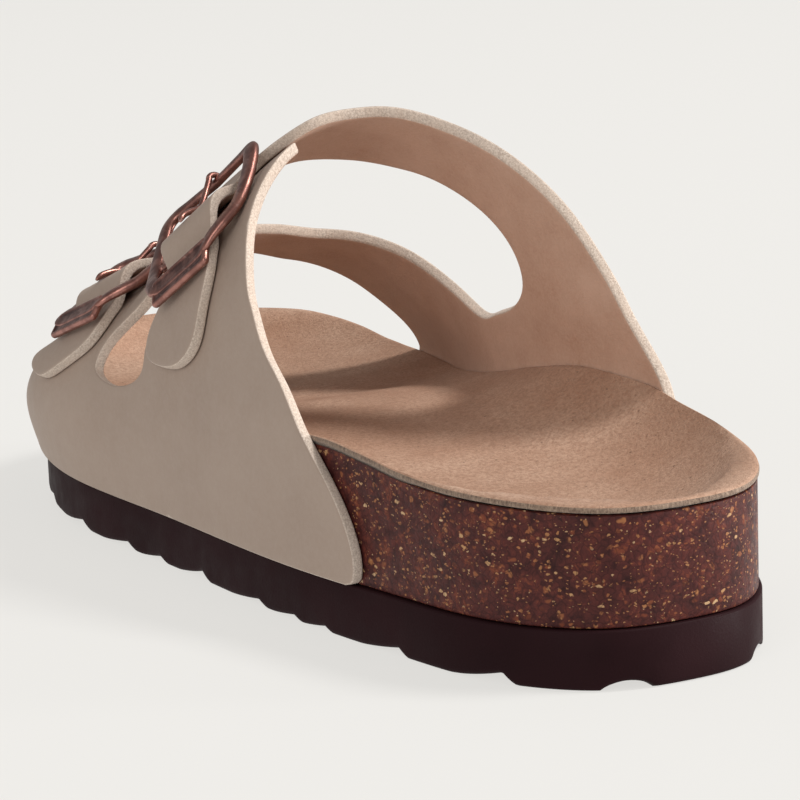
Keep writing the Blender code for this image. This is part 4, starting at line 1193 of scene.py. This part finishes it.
def buckle_piece(row):
    low, side, up, out, height, bar_up, bar_out = buckle_frame(row)

    def at(b, a, n):
        return low + side * b + up * a + out * n

    half = []
    for r in RING:
        half.append(np.array([r["side"] * RAIL_SPREAD * row["spread"], r["up"] * height, r["rise"],
                              r["wide"] * RAIL_HALF_WIDTH, r["thick"] * RAIL_HALF_THICK]))
    right = fine_path(half, RAIL_SPAN)
    left = [np.array([-p[0], p[1], p[2], p[3], p[4]]) for p in reversed(right[1:-1])]
    loop = right + left
    verts, faces = tube_mesh([at(p[0], p[1], p[2]) for p in loop], [(p[3], p[4]) for p in loop],
                             out, RAIL_SIDES, True, RAIL_POWER)
    lean = math.radians(row["tilt"])
    plate_up = up * math.cos(lean) + out * math.sin(lean)
    face_out = out * math.cos(lean) - up * math.sin(lean)

    def on_plate(b, a, n):
        return low + side * b + plate_up * a + face_out * n

    rows = centre_bar(row, height, bar_up, bar_out)
    rows += [np.array([-p[0], p[1], p[2]]) for p in reversed(rows[:-1])]
    path = fine_path(rows, BAR_SPAN)
    r = CENTRE_BAR_RADIUS
    bar = tube_mesh([at(*p) for p in path], [(r, r)] * len(path), up, BAR_SIDES, False, ROUND_POWER)
    for more in (bar, plate_mesh(on_plate)):
        start = len(verts)
        verts += more[0]
        faces += [tuple(i + start for i in f) for f in more[1]]
    shift = Vector((0.0, HEEL_REST_ALONG * LENGTH, 0.0))
    ob = mesh_piece("buckle_frame_" + row["name"], [v - shift for v in verts], faces, [0] * len(faces),
                    [COPPER_MAT], 50.0)
    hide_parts("buckle_" + row["name"])

    loop_radius = TOP_BAR_RADIUS * 1.05 + GAP + PRONG_RADIUS
    pts = []
    for k in range(8):
        w = math.radians(HOOK_START + HOOK_STEP * k)
        pts.append(at(0.0, height + loop_radius * math.cos(w), loop_radius * math.sin(w)))
    y0 = row["plate_along"] * LENGTH
    y1 = row["bar_along"] * LENGTH
    for around in PIN_REST:
        a = row["plate"] + (row["bar"] - row["plate"]) * around
        y = y0 + (y1 - y0) * around
        off = float(strap_offset(a, y)) + GAP + PRONG_RADIUS
        pts.append(last_point(a, y, off))
    path = fine_path([np.array(p) for p in pts], BAR_SPAN)
    count = len(path)
    sizes = [(PRONG_RADIUS * min(1.0, TIP_SIZE + TIP_GROWTH * (count - 1 - k)),) * 2 for k in range(count)]
    verts, faces = tube_mesh([Vector(p) for p in path], sizes, side, BAR_SIDES, False, ROUND_POWER)
    ob = mesh_piece("buckle_pin_" + row["name"], [v - shift for v in verts], faces, [0] * len(faces),
                    [COPPER_MAT], 60.0)
    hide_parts("prong_" + row["name"])


for buckle_row in BUCKLES:
    buckle_piece(buckle_row)


# Floor, light and camera
def paper():
    n = Nodes("studio_paper")
    return n.finish(Base_Color=FLOOR_TONE, Roughness=0.9, Specular_IOR_Level=0.1,
                    Emission_Color=FLOOR_GLOW, Emission_Strength=FLOOR_POWER)


bpy.ops.mesh.primitive_plane_add(size=8.0, location=(0.0, 0.0, 0.0))
floor = bpy.context.object
floor.name = "studio_floor"
floor.data.materials.append(paper())

world = bpy.data.worlds.new("studio_world")
bpy.context.scene.world = world
world.use_nodes = True
back = world.node_tree.nodes["Background"]
back.inputs["Color"].default_value = (*WORLD_TONE, 1.0)
back.inputs["Strength"].default_value = WORLD_POWER


def area(name, place, aim, size, power, tone):
    data = bpy.data.lights.new(name, "AREA")
    data.shape = "DISK"
    data.size = size
    data.energy = power
    data.color = tone
    ob = bpy.data.objects.new(name, data)
    bpy.context.scene.collection.objects.link(ob)
    ob.location = place
    ob.rotation_euler = (Vector(aim) - Vector(place)).to_track_quat("-Z", "Y").to_euler()


for light in LIGHTS:
    area(*light)

camera_data = bpy.data.cameras.new("camera")
camera = bpy.data.objects.new("camera", camera_data)
bpy.context.scene.collection.objects.link(camera)
turn = Matrix((CAMERA_RIGHT, CAMERA_UP, [-c for c in CAMERA_AHEAD])).transposed().to_4x4()
heel_rest = Vector((0.0, HEEL_REST_ALONG * LENGTH, 0.0))
camera.matrix_world = Matrix.Translation(Vector(CAMERA_PLACE) - heel_rest) @ turn
camera_data.lens = CAMERA_LENS
camera_data.sensor_width = CAMERA_SENSOR
camera_data.shift_x = CAMERA_SHIFT[0]
camera_data.shift_y = CAMERA_SHIFT[1]
camera_data.clip_start = 0.01
camera_data.clip_end = 50.0
bpy.context.scene.camera = camera
bpy.context.scene.view_settings.view_transform = "Standard"

bpy.context.view_layer.update()
